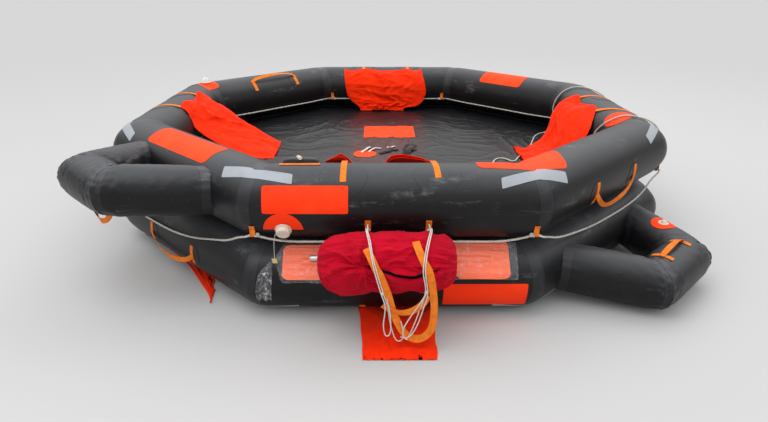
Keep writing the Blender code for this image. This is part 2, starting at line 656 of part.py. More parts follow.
def make_handles():
    def tube_handle(name, k, ring_z, sides, ends, web, belly, rise):
        grab_handle(name, lambda s, a, up: on_tube(k, s, a, ring_z, up), FACET, sides, ends, web, belly,
                    rise, 4.5)

    def ramp_handle(name, k, shape, ring_z, sides, ends, web, belly, rise):
        grab_handle(name, lambda s, a, up: on_ramp_end(k, shape, s, a, ring_z, up), 360 / RAMP_SIDES,
                    sides, ends, web, belly, rise, 6.0)

    tube_handle("outer_handle_right_front", RIGHT_FRONT, UPPER_Z, (-0.190, 0.190), (9, -28), -12, -44, 0.034)
    tube_handle("outer_handle_left_front", LEFT_FRONT, LOWER_Z, (-0.252, 0.150), (13, -19), -6, -24, 0.030)
    tube_handle("inner_handle_left_back", LEFT_BACK, UPPER_Z, (-0.20, 0.17), (119, 151), 126, 121, 0.026)
    tube_handle("inner_handle_right_back", RIGHT_BACK, LOWER_Z, (-0.17, 0.20), (241, 209), 234, 239, 0.026)
    ramp_handle("lower_ramp_handle", RIGHT_FRONT, LOWER_RAMP, LOWER_Z, (-0.105, 0.100), (117, 72), 94, 92,
                0.022)
    ramp_handle("upper_ramp_handle", LEFT_FRONT, UPPER_RAMP, UPPER_Z, (-0.080, 0.080), (-106, -68), -90, -88,
                0.045)


# equipment bag, lashings and paddles

def paddle_spot(side, slide, lift):
    """A point above the lower tube's facet that faces 45 degrees up at the front."""
    a = radians(45)
    out = APOTHEM + (TUBE_RADIUS + lift) * cos(a) + slide * sin(a)
    return place(FRONT, out, side, LOWER_Z + (TUBE_RADIUS + lift) * sin(a) - slide * cos(a))


def paddle(name, blade_tip, blade_root, shaft_end, slide, lifts):
    """A flat blade with rounded corners on a metal shaft; x runs from tip to shaft end."""
    turn = 1 if shaft_end > blade_tip else -1
    lift_tip, lift_end = lifts

    def lift_at(x):
        return lift_tip + (lift_end - lift_tip) * (x - blade_tip) / (shaft_end - blade_tip)

    stations = [(0.0, 0.70), (0.012, 0.88), (0.035, 1.0), (0.80, 1.0), (0.92, 0.72), (1.0, 0.28)]
    blade = []
    for t, w in stations:
        x = blade_tip + (blade_root - blade_tip) * t
        half = BLADE_HALF * w
        level = lift_at(x) + SHAFT_RADIUS - BLADE_THICK / 2
        blade.append([paddle_spot(x, slide - half, level), paddle_spot(x, slide + half, level),
                      paddle_spot(x, slide + half, level + BLADE_THICK),
                      paddle_spot(x, slide - half, level + BLADE_THICK)])
    made = body(name + "_blade", PADDLE_PLASTIC, [blade])
    start = blade_root + turn * CLEAR
    centre = [paddle_spot(x, slide, lift_at(x) + SHAFT_RADIUS / cos(pi / 12)) for x in (start, shaft_end)]
    body(name + "_shaft", METAL, [turned(centre[0], centre[1] - centre[0], (
        (0.0, SHAFT_RADIUS), ((centre[1] - centre[0]).length, SHAFT_RADIUS)), 12)])
    return made


def make_bag_and_paddles():
    rest = CLEAR
    over = SHAFT_RADIUS + BLADE_THICK / 2 + 2 * CLEAR       # clear of the left blade
    paddle("left_paddle", -0.470, -0.230, 0.205, 0.017, (rest, rest))
    paddle("right_paddle", 0.500, 0.235, -0.345, -0.012, (rest, over + 0.0030))
    shaft = paddle_spot(BAG_LEFT + 0.11, -0.012, over * 0.99 + SHAFT_RADIUS / cos(pi / 12))
    bag_z = 0.328
    reach = SHAFT_RADIUS / cos(pi / 12) + BAG_RADIUS / cos(pi / 20) + CLEAR
    drop = bag_z - shaft.z
    bag_y = shaft.y - sqrt(reach ** 2 - drop ** 2)
    profile = ((0.0, 0.35), (0.02, 0.62), (0.055, 0.86), (0.11, 0.98), (0.20, 1.0), (0.36, 1.0),
               (0.44, 0.97), (0.495, 0.86), (0.53, 0.62), (0.55, 0.35))
    start = Vector((RING_X + BAG_LEFT, bag_y, bag_z))
    sections = turned(start, Vector((1, 0, 0)), [(d, r * BAG_RADIUS) for d, r in profile], 20)
    body("emergency_bag", BAG_CLOTH, [sections])
    return bag_y, bag_z


def around_bag(x, angle, bag_y, bag_z, lift, scale=1.0):
    """A point off the bag; angle 0 faces the front, 90 up."""
    r = BAG_RADIUS * scale / cos(pi / 20) + lift
    return Vector((RING_X + x, bag_y - r * cos(radians(angle)), bag_z + r * sin(radians(angle))))


def make_lashings(bag_y, bag_z):
    for name, s in (("left", -0.107), ("right", 0.135)):
        body("lashing_tab_" + name, WEBBING, [wrap(FRONT, s, -12, -30, UPPER_Z, 0.024)])
    lift = 0.0020                       # inner face of the webbing off the bag's edges
    front = bag_y - BAG_RADIUS / cos(pi / 20) - lift
    left = [around_bag(-0.115 + 0.013 * i, a, bag_y, bag_z, lift)
            for i, a in enumerate((130, 105, 80, 55, 30, 5))]
    loop = [Vector((RING_X - 0.030, front, 0.255)), Vector((RING_X - 0.005, front, 0.165)),
            Vector((RING_X + 0.035, front, 0.085)), Vector((RING_X + 0.09, front, 0.060)),
            Vector((RING_X + 0.135, front, 0.100)), Vector((RING_X + 0.145, front, 0.180)),
            Vector((RING_X + 0.140, front, 0.255))]
    right = [around_bag(x, a, bag_y, bag_z, lift) for x, a in
             ((0.125, 5), (0.105, 30), (0.085, 55), (0.07, 80), (0.065, 105), (0.06, 130))]
    path = smooth_path(left + loop + right, 76)
    normals = [Vector((0, p.y - bag_y, p.z - bag_z)).normalized() if p.z > bag_z
               else Vector((0, -1, 0)) for p in path]
    body("bag_webbing", WEBBING, [ribbon(path, normals, WEB_THICK, WEB_WIDTH)])
    over = lift + WEB_THICK + CORD_RADIUS + 0.0018      # cord centre, clear of the webbing
    front = bag_y - BAG_RADIUS / cos(pi / 20) - over

    def down_bag(xs):
        return [around_bag(x, a, bag_y, bag_z, over) for x, a in zip(xs, (112, 90, 62, 34, 8))]

    def from_tab(x):
        against = 3 * CLEAR + WEB_THICK + CORD_RADIUS
        return [on_tube(FRONT, x, -27, UPPER_Z, against), on_tube(FRONT, x, -22, UPPER_Z, against + 0.002),
                on_tube(FRONT, x, -14, UPPER_Z, 0.016)]

    cords = {
        "lashing_cord_left": from_tab(-0.107)
        + down_bag((-0.107, -0.106, -0.095, -0.085, -0.070))
        + [Vector((RING_X - 0.050, front, 0.270)), Vector((RING_X - 0.030, front, 0.200)),
           Vector((RING_X - 0.020, front, 0.130)), Vector((RING_X + 0.000, front, 0.062)),
           Vector((RING_X + 0.022, front, 0.055)), Vector((RING_X + 0.030, front, 0.090)),
           Vector((RING_X + 0.020, front, 0.140))],
        "lashing_cord_right": from_tab(0.135)
        + down_bag((0.135, 0.132, 0.118, 0.105, 0.100))
        + [Vector((RING_X + 0.110, front, 0.270)), Vector((RING_X + 0.090, front, 0.190)),
           Vector((RING_X + 0.065, front, 0.110)), Vector((RING_X + 0.045, front, 0.060))],
    }
    for name, route in cords.items():
        cord(name, smooth_path(route, 60), CORD_RADIUS, ROPE, 2)


# valves, lights and other fittings

def make_fittings():
    def button(k, side, angle, ring_z, profile):
        base = on_tube(k, side, angle, ring_z, 0)
        axis = base - place(k, APOTHEM, side, ring_z)
        return turned(base + axis.normalized() * CLEAR, axis, profile, 16)

    valve = ((0.0, 0.034), (0.004, 0.034), (0.006, 0.028), (0.022, 0.028), (0.027, 0.024))
    body("upper_tube_valve", WHITE_PLASTIC, [button(FRONT, -0.445, -30, UPPER_Z, valve)])
    body("lower_tube_valve", WHITE_PLASTIC, [button(BACK, 0.445, 30, LOWER_Z, valve)])
    inlet = ((0.0, 0.022), (0.003, 0.022), (0.004, 0.014), (0.020, 0.014), (0.022, 0.018), (0.034, 0.018))
    body("upper_gas_inlet", METAL, [button(BACK, -0.450, -15, UPPER_Z, inlet)])
    body("lower_gas_inlet", METAL, [button(BACK, -0.450, 15, LOWER_Z, inlet)])
    dome = ((0.0, 0.036), (0.006, 0.036), (0.010, 0.029), (0.026, 0.024), (0.036, 0.012))
    body("upper_sea_light", CLEAR_PLASTIC, [button(LEFT_BACK, 0.50, 90, UPPER_Z, dome)])
    body("lower_sea_light", CLEAR_PLASTIC, [button(RIGHT_BACK, -0.50, -45, LOWER_Z, dome)])


def make_knife_pouch():
    """The safety knife's pouch on its patch, inside the top of the front tube."""
    made = body("knife_pouch", RUBBER, [wrap(FRONT, -0.385, 92, 121, UPPER_Z, 0.160)])
    join(made, [wrap(FRONT, -0.385, 99, 116, UPPER_Z, 0.142, CLEAR + WEB_THICK / 2, 0.019)], "pouch")


def make_wrap_tail():
    """The twisted end of the clear sleeve round the left paddle, hanging down the tube."""
    body("paddle_sleeve_tail", CLEAR_PLASTIC, [wrap(FRONT, -0.528, 36, -24, LOWER_Z, 0.070, CLEAR, 0.010)])


def bottle_strap(name, side, out, z):
    """A strap over the bottle with both ends glued to the lower tube."""
    reach = CYLINDER_RADIUS / cos(pi / 20)
    start, end = CYLINDER_ANGLE + 50, CYLINDER_ANGLE - 50
    half = WEB_WIDTH / 2
    sections = wrap(BACK, side, start + 15, start, LOWER_Z, WEB_WIDTH)
    for a in range(80, -81, -16):
        turn = radians(CYLINDER_ANGLE + a)
        inner, outer = reach + 0.0012, reach + STRAP_LIFT - 0.0010
        sections.append([place(BACK, out + r * cos(turn), side + w, z + r * sin(turn))
                         for r, w in ((inner, -half), (inner, half), (outer, half), (outer, -half))])
    sections += wrap(BACK, side, end, end - 15, LOWER_Z, WEB_WIDTH)
    return body(name, WEBBING, [sections])


def make_gas_cylinder():
    """The inflation bottle, strapped to the outside of the lower tube at the back."""
    turn = radians(CYLINDER_ANGLE)
    off = TUBE_RADIUS + CLEAR + CYLINDER_RADIUS / cos(pi / 20)
    out, z = APOTHEM + off * cos(turn), LOWER_Z + off * sin(turn)
    half = CYLINDER_LENGTH / 2
    start = place(BACK, out, half, z)
    axis = place(BACK, out, -half, z) - start
    r = CYLINDER_RADIUS
    body("gas_cylinder", CYLINDER_PAINT, [turned(start, axis, (
        (0.0, r * 0.55), (0.02, r * 0.85), (0.05, r), (CYLINDER_LENGTH - 0.07, r),
        (CYLINDER_LENGTH - 0.03, r * 0.75), (CYLINDER_LENGTH, r * 0.30)), 20)])
    head = start + axis + axis.normalized() * CLEAR
    body("cylinder_head", METAL, [turned(head, axis, (
        (0.0, 0.020), (0.03, 0.020), (0.032, 0.028), (0.075, 0.028), (0.08, 0.020)), 12)])
    for name, side in (("left", 0.15), ("right", -0.13)):
        bottle_strap("cylinder_strap_" + name, side, out, z)


def main():
    for found in list(bpy.data.objects):
        bpy.data.objects.remove(found, do_unlink=True)
    make_tubes_and_floor()
    make_ramps()
    make_patches()
    make_pockets()
    make_lifelines()
    make_loose_lines()
    make_handles()
    bag_y, bag_z = make_bag_and_paddles()
    make_lashings(bag_y, bag_z)
    make_fittings()
    make_knife_pouch()
    make_wrap_tail()
    make_gas_cylinder()


main()
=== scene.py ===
import bpy
from math import radians, degrees, sin, cos, tan, pi, sqrt, exp, atan2, hypot
from mathutils import Vector, Matrix, noise


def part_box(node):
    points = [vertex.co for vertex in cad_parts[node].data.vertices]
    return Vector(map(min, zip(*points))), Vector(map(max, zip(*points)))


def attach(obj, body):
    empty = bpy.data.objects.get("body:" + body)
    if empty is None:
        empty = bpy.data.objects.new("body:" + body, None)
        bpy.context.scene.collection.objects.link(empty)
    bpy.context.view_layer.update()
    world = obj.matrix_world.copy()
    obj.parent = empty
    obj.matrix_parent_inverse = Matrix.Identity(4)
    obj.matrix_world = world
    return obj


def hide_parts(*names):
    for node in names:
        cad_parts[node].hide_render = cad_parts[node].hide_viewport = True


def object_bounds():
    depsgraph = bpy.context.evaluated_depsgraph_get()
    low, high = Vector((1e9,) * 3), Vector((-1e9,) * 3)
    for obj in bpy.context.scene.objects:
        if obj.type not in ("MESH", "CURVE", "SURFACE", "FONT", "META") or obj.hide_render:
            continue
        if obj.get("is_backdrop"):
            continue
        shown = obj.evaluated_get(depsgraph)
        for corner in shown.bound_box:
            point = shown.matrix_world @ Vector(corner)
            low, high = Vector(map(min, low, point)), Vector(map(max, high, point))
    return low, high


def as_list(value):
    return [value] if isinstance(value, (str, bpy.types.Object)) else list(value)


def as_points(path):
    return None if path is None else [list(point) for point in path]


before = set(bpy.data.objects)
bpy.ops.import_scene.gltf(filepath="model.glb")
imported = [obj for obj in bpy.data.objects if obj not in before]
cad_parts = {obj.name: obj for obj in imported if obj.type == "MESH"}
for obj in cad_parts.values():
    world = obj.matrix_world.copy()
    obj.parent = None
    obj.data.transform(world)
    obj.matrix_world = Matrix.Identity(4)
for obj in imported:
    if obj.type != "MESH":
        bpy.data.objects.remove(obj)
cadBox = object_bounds()


def ringValues():
    low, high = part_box("upper_buoyancy_tube")
    under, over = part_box("lower_buoyancy_tube")
    tube = (high[2] - low[2]) / 2
    return {"x": (low[0] + high[0]) / 2, "y": (low[1] + high[1]) / 2, "upperZ": (low[2] + high[2]) / 2,
            "lowerZ": (under[2] + over[2]) / 2, "tube": tube, "apothem": (high[0] - low[0]) / 2 - tube,
            "floorTop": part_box("raft_floor")[1][2]}


ring = ringValues()
right, rightBack, back, leftBack, left, leftFront, front, rightFront = range(8)
upward = Vector((0, 0, 1))
halfSegment = 22.5                                # degrees from the middle of a segment to its corner
print("frame loaded")


# places on the raft

def at(k, out, side, z):
    a = radians(45 * k)
    return Vector((ring["x"] + out * cos(a) - side * sin(a), ring["y"] + out * sin(a) + side * cos(a), z))


def fromMiddle(x, y, z):                          # a place given from the middle of the raft
    return Vector((ring["x"] + x, ring["y"] + y, z))


def pastCorners(k, side, reach):                  # a place beyond a corner belongs to the next segment
    edge = reach * tan(radians(halfSegment))
    while side > edge:
        side -= 2 * edge
        k += 1
    while side < -edge:
        side += 2 * edge
        k -= 1
    return k, side


def onTube(k, side, angle, ringZ, lift=0.0):      # angle 0 faces out, 90 up; side runs on round the corners
    reach = ring["apothem"] + (ring["tube"] + lift) * cos(radians(angle))
    k, side = pastCorners(k, side, reach)
    return at(k, reach, side, ringZ + (ring["tube"] + lift) * sin(radians(angle)))


def segmentTurn(p):                               # the direction of the segment nearest to a point
    return radians(45 * round(degrees(atan2(p.y - ring["y"], p.x - ring["x"])) / 45))


def outFrom(p, turn):                             # how far out a point lies from the axis of that segment
    return (p.x - ring["x"]) * cos(turn) + (p.y - ring["y"]) * sin(turn) - ring["apothem"]


def curved(a, b, c, d, t):                        # a smooth curve from b to c
    square, cube = 2 * a - 5 * b + 4 * c - d, 3 * b - a - 3 * c + d
    return 0.5 * (2 * b + (c - a) * t + square * t * t + cube * t ** 3)


def smoothPath(points, count, closed=False):
    pts = [Vector(p) for p in points]
    ends = [pts[-1]] + pts + pts[:2] if closed else [pts[0] * 2 - pts[1]] + pts + [pts[-1] * 2 - pts[-2]]
    fine = []
    for i in range(1, len(ends) - 2):
        fine += [curved(*ends[i - 1:i + 3], s / 16) for s in range(16)]
    fine.append(ends[-2])
    lengths = [0.0]
    for p, q in zip(fine, fine[1:]):
        lengths.append(lengths[-1] + (q - p).length)
    spread, j = [], 0
    for i in range(count):
        want = lengths[-1] * i / (count - 1)
        while j < len(fine) - 2 and lengths[j + 1] < want:
            j += 1
        span = max(lengths[j + 1] - lengths[j], 1e-9)
        spread.append(fine[j].lerp(fine[j + 1], min(max((want - lengths[j]) / span, 0.0), 1.0)))
    return spread


def pathLength(points):
    return sum((q - p).length for p, q in zip(points, points[1:]))


def aheadAt(points, i):                           # the direction of a path at one of its points
    return (points[min(i + 1, len(points) - 1)] - points[max(i - 1, 0)]).normalized()


def mixed(a, b, t):
    return a + (b - a) * t


def eased(t):
    t = min(max(t, 0.0), 1.0)
    return t * t * (3 - 2 * t)


def ridged(x, y, z=0.0):
    return max(1 - 2 * abs(noise.noise(Vector((x, y, z)))), 0.0)


def readOff(rows, x):                             # straight lines between rows of (place, value)
    for (a, r), (b, s) in zip(rows, rows[1:]):
        if x <= b:
            return mixed(r, s, max((x - a) / (b - a), 0.0))
    return rows[-1][1]


# making and finishing meshes

def pickOnly(piece):
    bpy.ops.object.select_all(action="DESELECT")
    piece.select_set(True)
    bpy.context.view_layer.objects.active = piece


def gridSheet(name, across, along, spot):         # spot gives a point from u across and v along, 0 to 1
    bpy.ops.object.select_all(action="DESELECT")
    bpy.ops.mesh.primitive_grid_add(x_subdivisions=across, y_subdivisions=along, size=1)
    piece = bpy.context.object
    piece.name = name
    piece.data.name = name
    for v in piece.data.vertices:
        v.co = spot(v.co.x + 0.5, v.co.y + 0.5)
    piece.data.update()
    return piece


def weld(piece, distance=0.0003):
    pickOnly(piece)
    bpy.ops.object.mode_set(mode="EDIT")
    bpy.ops.mesh.select_all(action="SELECT")
    bpy.ops.mesh.remove_doubles(threshold=distance)
    bpy.ops.mesh.normals_make_consistent(inside=False)
    bpy.ops.object.mode_set(mode="OBJECT")


def capEnds(piece):
    pickOnly(piece)
    bpy.ops.object.mode_set(mode="EDIT")
    bpy.ops.mesh.select_all(action="DESELECT")
    bpy.ops.mesh.select_non_manifold()
    bpy.ops.mesh.fill_holes(sides=0)
    bpy.ops.mesh.select_all(action="SELECT")
    bpy.ops.mesh.normals_make_consistent(inside=False)
    bpy.ops.object.mode_set(mode="OBJECT")


def faceTowards(piece, face, way):                # turns a sheet over when its sample face looks away
    if piece.data.polygons[face].normal.dot(way) < 0:
        pickOnly(piece)
        bpy.ops.object.mode_set(mode="EDIT")
        bpy.ops.mesh.select_all(action="SELECT")
        bpy.ops.mesh.flip_normals()
        bpy.ops.object.mode_set(mode="OBJECT")


def markPoints(piece, name, values):
    piece.data.attributes.new(name, "FLOAT", "POINT").data.foreach_set("value", values)


def applyAll(piece):
    pickOnly(piece)
    for step in list(piece.modifiers):
        bpy.ops.object.modifier_apply(modifier=step.name)


def thicken(piece, thick, bevel=0.0, offset=-1.0):
    step = piece.modifiers.new("thick", "SOLIDIFY")
    step.thickness = thick
    step.offset = offset
    if bevel:
        soft = piece.modifiers.new("soft", "BEVEL")
        soft.width = bevel
        soft.segments = 2
        soft.limit_method = "ANGLE"
        soft.angle_limit = radians(50)
    applyAll(piece)


def joined(name, pieces):
    bpy.ops.object.select_all(action="DESELECT")
    for piece in pieces:
        piece.select_set(True)
    bpy.context.view_layer.objects.active = pieces[0]
    if len(pieces) > 1:
        bpy.ops.object.join()
    made = bpy.context.view_layer.objects.active
    made.name = name
    made.data.name = name
    return made


def settle(piece, finish, angle=40, nodes=()):
    material, slot = finish
    piece.data.materials.clear()
    piece.data.materials.append(material)
    pickOnly(piece)
    bpy.ops.object.transform_apply(location=True, rotation=True, scale=True)
    bpy.ops.object.shade_smooth_by_angle(angle=radians(angle))
    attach(piece, "root")
    if nodes:
        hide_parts(*nodes)
    return piece


# shader maths

class Wire:
    def __init__(self, paint, out):
        self.paint, self.out = paint, out

    def maths(self, kind, other=0.0):
        return self.paint.node("ShaderNodeMath", {"operation": kind}, {0: self, 1: other})

    def __add__(self, other):
        return self.maths("ADD", other)

    def __sub__(self, other):
        return self.maths("SUBTRACT", other)

    def __mul__(self, other):
        return self.maths("MULTIPLY", other)

    __radd__ = __add__

    def least(self, other):
        return self.maths("MINIMUM", other)

    def size(self):
        return self.maths("ABSOLUTE")

    def wave(self):
        return self.maths("SINE")

    def between(self, start, end, low=0.0, high=1.0):
        return self.paint.node("ShaderNodeMapRange", {"interpolation_type": "SMOOTHSTEP"},
                               {0: self, 1: start, 2: end, 3: low, 4: high})

    def part(self, axis):
        return self.paint.node("ShaderNodeSeparateXYZ", {}, {0: self}, "XYZ".index(axis))


class Paint:
    def __init__(self, name, tree=None):
        self.tree = tree
        if not tree:
            self.material = bpy.data.materials.new(name)
            self.material.use_nodes = True
            self.tree = self.material.node_tree
            self.shader = self.tree.nodes["Principled BSDF"]

    def node(self, kind, settings, inputs, take=0):
        made = self.tree.nodes.new(kind)
        for key, value in settings.items():
            setattr(made, key, value)
        for key, value in inputs.items():
            self.feed(made.inputs[key], value)
        return Wire(self, made.outputs[take])

    def feed(self, socket, value):
        if isinstance(value, Wire):
            self.tree.links.new(value.out, socket)
        elif socket.type == "RGBA":
            socket.default_value = (*value, 1)
        else:
            socket.default_value = value

    def here(self):
        return self.node("ShaderNodeTexCoord", {}, {}, "Object")

    def uv(self):
        return self.node("ShaderNodeTexCoord", {}, {}, "UV")

    def stretched(self, where, scale, turn=(0, 0, 0)):
        return self.node("ShaderNodeMapping", {}, {0: where, 2: turn, 3: scale})

    def grain(self, where, scale, detail=3.0, rough=0.5, warp=0.0):
        return self.node("ShaderNodeTexNoise", {}, {"Vector": where, "Scale": scale, "Detail": detail,
                                                    "Roughness": rough, "Distortion": warp})

    def cells(self, where, scale):
        return self.node("ShaderNodeTexVoronoi", {}, {"Vector": where, "Scale": scale})

    def mark(self, name):
        return self.node("ShaderNodeAttribute", {"attribute_name": name}, {}, 2)

    def blend(self, factor, first, second):
        return self.node("ShaderNodeMix", {"data_type": "RGBA"}, {0: factor, 6: first, 7: second}, 2)

    def bump(self, height, strength, distance):
        return self.node("ShaderNodeBump", {}, {"Strength": strength, "Distance": distance, "Height": height})

    def use(self, **sockets):
        for key, value in sockets.items():
            self.feed(self.shader.inputs[key.replace("_", " ")], value)
        return self.material


def blackRubber():
    paint = Paint("blackRubber")
    where = paint.here()
    broad = paint.grain(where, 3.1, 4, 0.6)
    dust = paint.grain(where, 14, 6, 0.65)
    speck = paint.grain(where, 160, 2, 0.6)
    scratch = paint.grain(paint.stretched(where, (6, 60, 40), (0.3, 0.2, 0.6)), 3.0, 5, 0.6, 0.4)
    streak = paint.grain(paint.stretched(where, (40, 7, 30), (0.1, 0.5, 0.2)), 2.3, 5, 0.6, 0.3)
    seam = paint.mark("seam")                                     # metres to the nearest tube joint
    band = seam.between(0.034, 0.031)
    line = seam.between(0.036, 0.034) - band
    chalk = dust.between(0.55, 0.85) * 0.09 + broad.between(0.48, 0.80) * 0.07
    marks = scratch.between(0.64, 0.72) * 0.35 + streak.between(0.66, 0.74) * 0.30
    dots = speck.between(0.70, 0.78) * 0.35
    smear = paint.grain(paint.stretched(where, (2.2, 2.2, 9)), 1.7, 6, 0.7).between(0.56, 0.70)
    powder = smear * dust.between(0.42, 0.58) * 0.70
    up = paint.node("ShaderNodeNewGeometry", {}, {}, "Normal").part("Z").between(0.42, 1.0)
    topSheenAndDust = up * (0.30 + broad * 0.30 + dust * 0.12)            # up-facing tops are lightened: painted highlight for the sky's sheen on the tops, with some real dust settled there
    light = (chalk + marks + dots + powder + topSheenAndDust + band * 0.10).least(1.0)
    shade = paint.blend(light, (0.0046, 0.0049, 0.0058), (0.098, 0.101, 0.112))
    shade = paint.blend(line * 0.5, shade, (0.006, 0.006, 0.007))
    weave = paint.grain(where, 420, 2, 0.5)
    height = weave * 0.10 + band * 0.9 + dust * 0.12 + broad * 0.5
    return paint.use(Base_Color=shade, Roughness=0.42 + chalk * 0.5 + marks * 0.3 - band * 0.04,
                     Specular_IOR_Level=0.27, Normal=paint.bump(height, 0.45, 0.0015))


def orangeRubber(name="orangeRubber", colour=(0.95, 0.052, 0.0), worn=(0.95, 0.11, 0.022)):
    paint = Paint(name)
    where = paint.here()
    broad = paint.grain(where, 9, 4, 0.6)
    dust = paint.grain(where, 55, 5, 0.65)
    scratch = paint.grain(paint.stretched(where, (9, 90, 60), (0.4, 0.1, 0.3)), 3.0, 4, 0.6, 0.4)
    light = (broad.between(0.45, 0.8) * 0.45 + dust.between(0.55, 0.8) * 0.4).least(1.0)
    shade = paint.blend(light, colour, worn)
    shade = paint.blend(scratch.between(0.66, 0.73) * 0.35, shade, (0.30, 0.05, 0.02))
    height = paint.grain(where, 380, 2, 0.5) * 0.2 + broad * 0.4
    return paint.use(Base_Color=shade, Roughness=0.55 + light * 0.2, Specular_IOR_Level=0.18,
                     Normal=paint.bump(height, 0.35, 0.0012))


def wovenCloth(name, colour, deep, pale, rough=0.62, zipped=False):
    paint = Paint(name)
    where, flat = paint.here(), paint.uv()
    threads = 3900                                                # turns of the weave, in radians a metre
    broad = paint.grain(where, 11, 4, 0.6)
    crease = paint.grain(paint.stretched(where, (1, 1, 1), (0.5, 0.3, 0.9)), 34, 5, 0.62, 1.2)
    weave = (flat.part("X") * threads).wave() * (flat.part("Y") * threads).wave()
    shade = paint.blend(broad.between(0.35, 0.75) * 0.55, colour, deep)
    shade = paint.blend(crease.between(0.56, 0.74) * 0.45, shade, pale)
    height = weave * 0.10 + crease.between(0.3, 0.8) + paint.grain(where, 90, 4, 0.6, 0.8) * 0.35
    if zipped:                                                    # metres past the lips of a zip's opening; inside it the colour is painted near-black, painted shade of the bag's inside
        shade = paint.blend(paint.mark("slit").between(0.0012, 0.0), shade, (0.004, 0.003, 0.004))
    return paint.use(Base_Color=shade, Roughness=rough + crease * 0.12, Sheen_Weight=0.03,
                     Specular_IOR_Level=0.07, Normal=paint.bump(height, 0.55, 0.0022))


def webCloth(name, colour, deep):
    paint = Paint(name)
    web = {"ribs": 9, "pitch": 2600}                              # ribs in its width, and radians a metre
    flat = paint.uv()
    across, along = flat.part("X"), flat.part("Y")
    rib = (across * (web["ribs"] * 2 * pi)).wave()
    pick = (along * web["pitch"] + rib * 0.8).wave()
    dirt = paint.grain(paint.here(), 40, 5, 0.65)
    edge = (across - 0.5).size().between(0.40, 0.49)
    shade = paint.blend(dirt.between(0.42, 0.72) * 0.55, colour, deep)
    shade = paint.blend(pick.between(-0.2, 0.9) * 0.22, shade, deep)
    shade = paint.blend(edge * 0.35, shade, deep)
    height = pick * 0.5 + rib * 0.35
    return paint.use(Base_Color=shade, Roughness=0.72 + dirt * 0.15, Sheen_Weight=0.03,
                     Specular_IOR_Level=0.3, Normal=paint.bump(height, 0.4, 0.0008))


def ropeCloth(name, colour=(0.66, 0.63, 0.57), deep=(0.26, 0.23, 0.20)):
    paint = Paint(name)
    where = paint.here()
    dirt = paint.grain(where, 45, 5, 0.65)
    fuzz = paint.grain(where, 700, 2, 0.6)
    shade = paint.blend(dirt.between(0.40, 0.75) * 0.45, colour, deep)
    # the grooves between the strands are darkened: painted shade
    shade = paint.blend(paint.mark("groove") * 0.65, shade, deep)
    return paint.use(Base_Color=shade, Roughness=0.85, Sheen_Weight=0.2, Specular_IOR_Level=0.25,
                     Normal=paint.bump(fuzz, 0.5, 0.0006))


def smoothPlastic(name, colour, dirty, rough=0.38):
    paint = Paint(name)
    where = paint.here()
    dirt = paint.grain(where, 70, 5, 0.65)
    shade = paint.blend(dirt.between(0.5, 0.8) * 0.6, colour, dirty)
    return paint.use(Base_Color=shade, Roughness=rough + dirt * 0.2,
                     Normal=paint.bump(paint.grain(where, 300, 2), 0.12, 0.0006))


def bareMetal(name="bareMetal"):
    paint = Paint(name)
    where = paint.here()
    brush = paint.grain(paint.stretched(where, (12, 500, 500)), 1.0, 4, 0.6)
    stain = paint.grain(where, 22, 5, 0.6)
    shade = paint.blend(stain.between(0.45, 0.75) * 0.5, (0.62, 0.63, 0.65), (0.34, 0.33, 0.32))
    return paint.use(Base_Color=shade, Metallic=0.95, Roughness=0.26 + stain * 0.25 + brush * 0.08,
                     Normal=paint.bump(brush, 0.15, 0.0004))


def paintedSteel(name="cylinderPaint"):
    paint = Paint(name)
    where = paint.here()
    chip = paint.grain(where, 26, 6, 0.7)
    broad = paint.grain(where, 7, 4, 0.6)
    shade = paint.blend(broad.between(0.4, 0.8) * 0.4, (0.045, 0.070, 0.052), (0.085, 0.11, 0.085))
    shade = paint.blend(chip.between(0.70, 0.74) * 0.8, shade, (0.20, 0.15, 0.11))
    return paint.use(Base_Color=shade, Roughness=0.36 + chip * 0.25, Coat_Weight=0.2,
                     Normal=paint.bump(chip + broad, 0.2, 0.001))


def glossySheet(name="floorSheet"):
    paint = Paint(name)
    where = paint.here()
    broad = paint.grain(where, 4.5, 5, 0.6, 0.5)
    fine = paint.grain(where, 26, 6, 0.62, 1.0)
    dust = paint.grain(where, 70, 5, 0.7)
    shade = paint.blend(dust.between(0.50, 0.85) * 0.5 + fine.between(0.55, 0.8) * 0.2,
                        (0.0070, 0.0075, 0.0088), (0.036, 0.037, 0.042))
    x, y = where.part("X") - ring["x"], where.part("Y") - ring["y"]
    stained = x.between(-0.27, -0.22) * x.between(0.16, 0.11)
    stained = stained * y.between(-0.34, -0.28) * y.between(0.24, 0.20)
    shade = paint.blend(stained * 0.55, shade, (0.055, 0.010, 0.009))
    height = broad * 0.8 + fine * 0.6
    return paint.use(Base_Color=shade, Roughness=0.20 + fine * 0.20 + dust * 0.1, Specular_IOR_Level=0.36,
                     Normal=paint.bump(height, 0.7, 0.005))


def reflectiveTape(name="reflectiveTape"):
    paint = Paint(name)
    where = paint.here()
    broad = paint.grain(where, 10, 4, 0.6)
    cell = paint.cells(where, 420)
    scratch = paint.grain(paint.stretched(where, (9, 120, 80), (0.4, 0.1, 0.3)), 3.0, 4, 0.6, 0.4)
    shade = paint.blend(broad.between(0.4, 0.75) * 0.5, (0.29, 0.315, 0.35), (0.21, 0.235, 0.27))
    shade = paint.blend(cell.between(0.0, 0.6) * 0.12, shade, (0.54, 0.57, 0.60))
    shade = paint.blend(scratch.between(0.64, 0.72) * 0.5, shade, (0.18, 0.19, 0.20))
    return paint.use(Base_Color=shade, Roughness=0.42 + broad * 0.15, Specular_IOR_Level=0.5,
                     Normal=paint.bump(cell, 0.15, 0.0005))


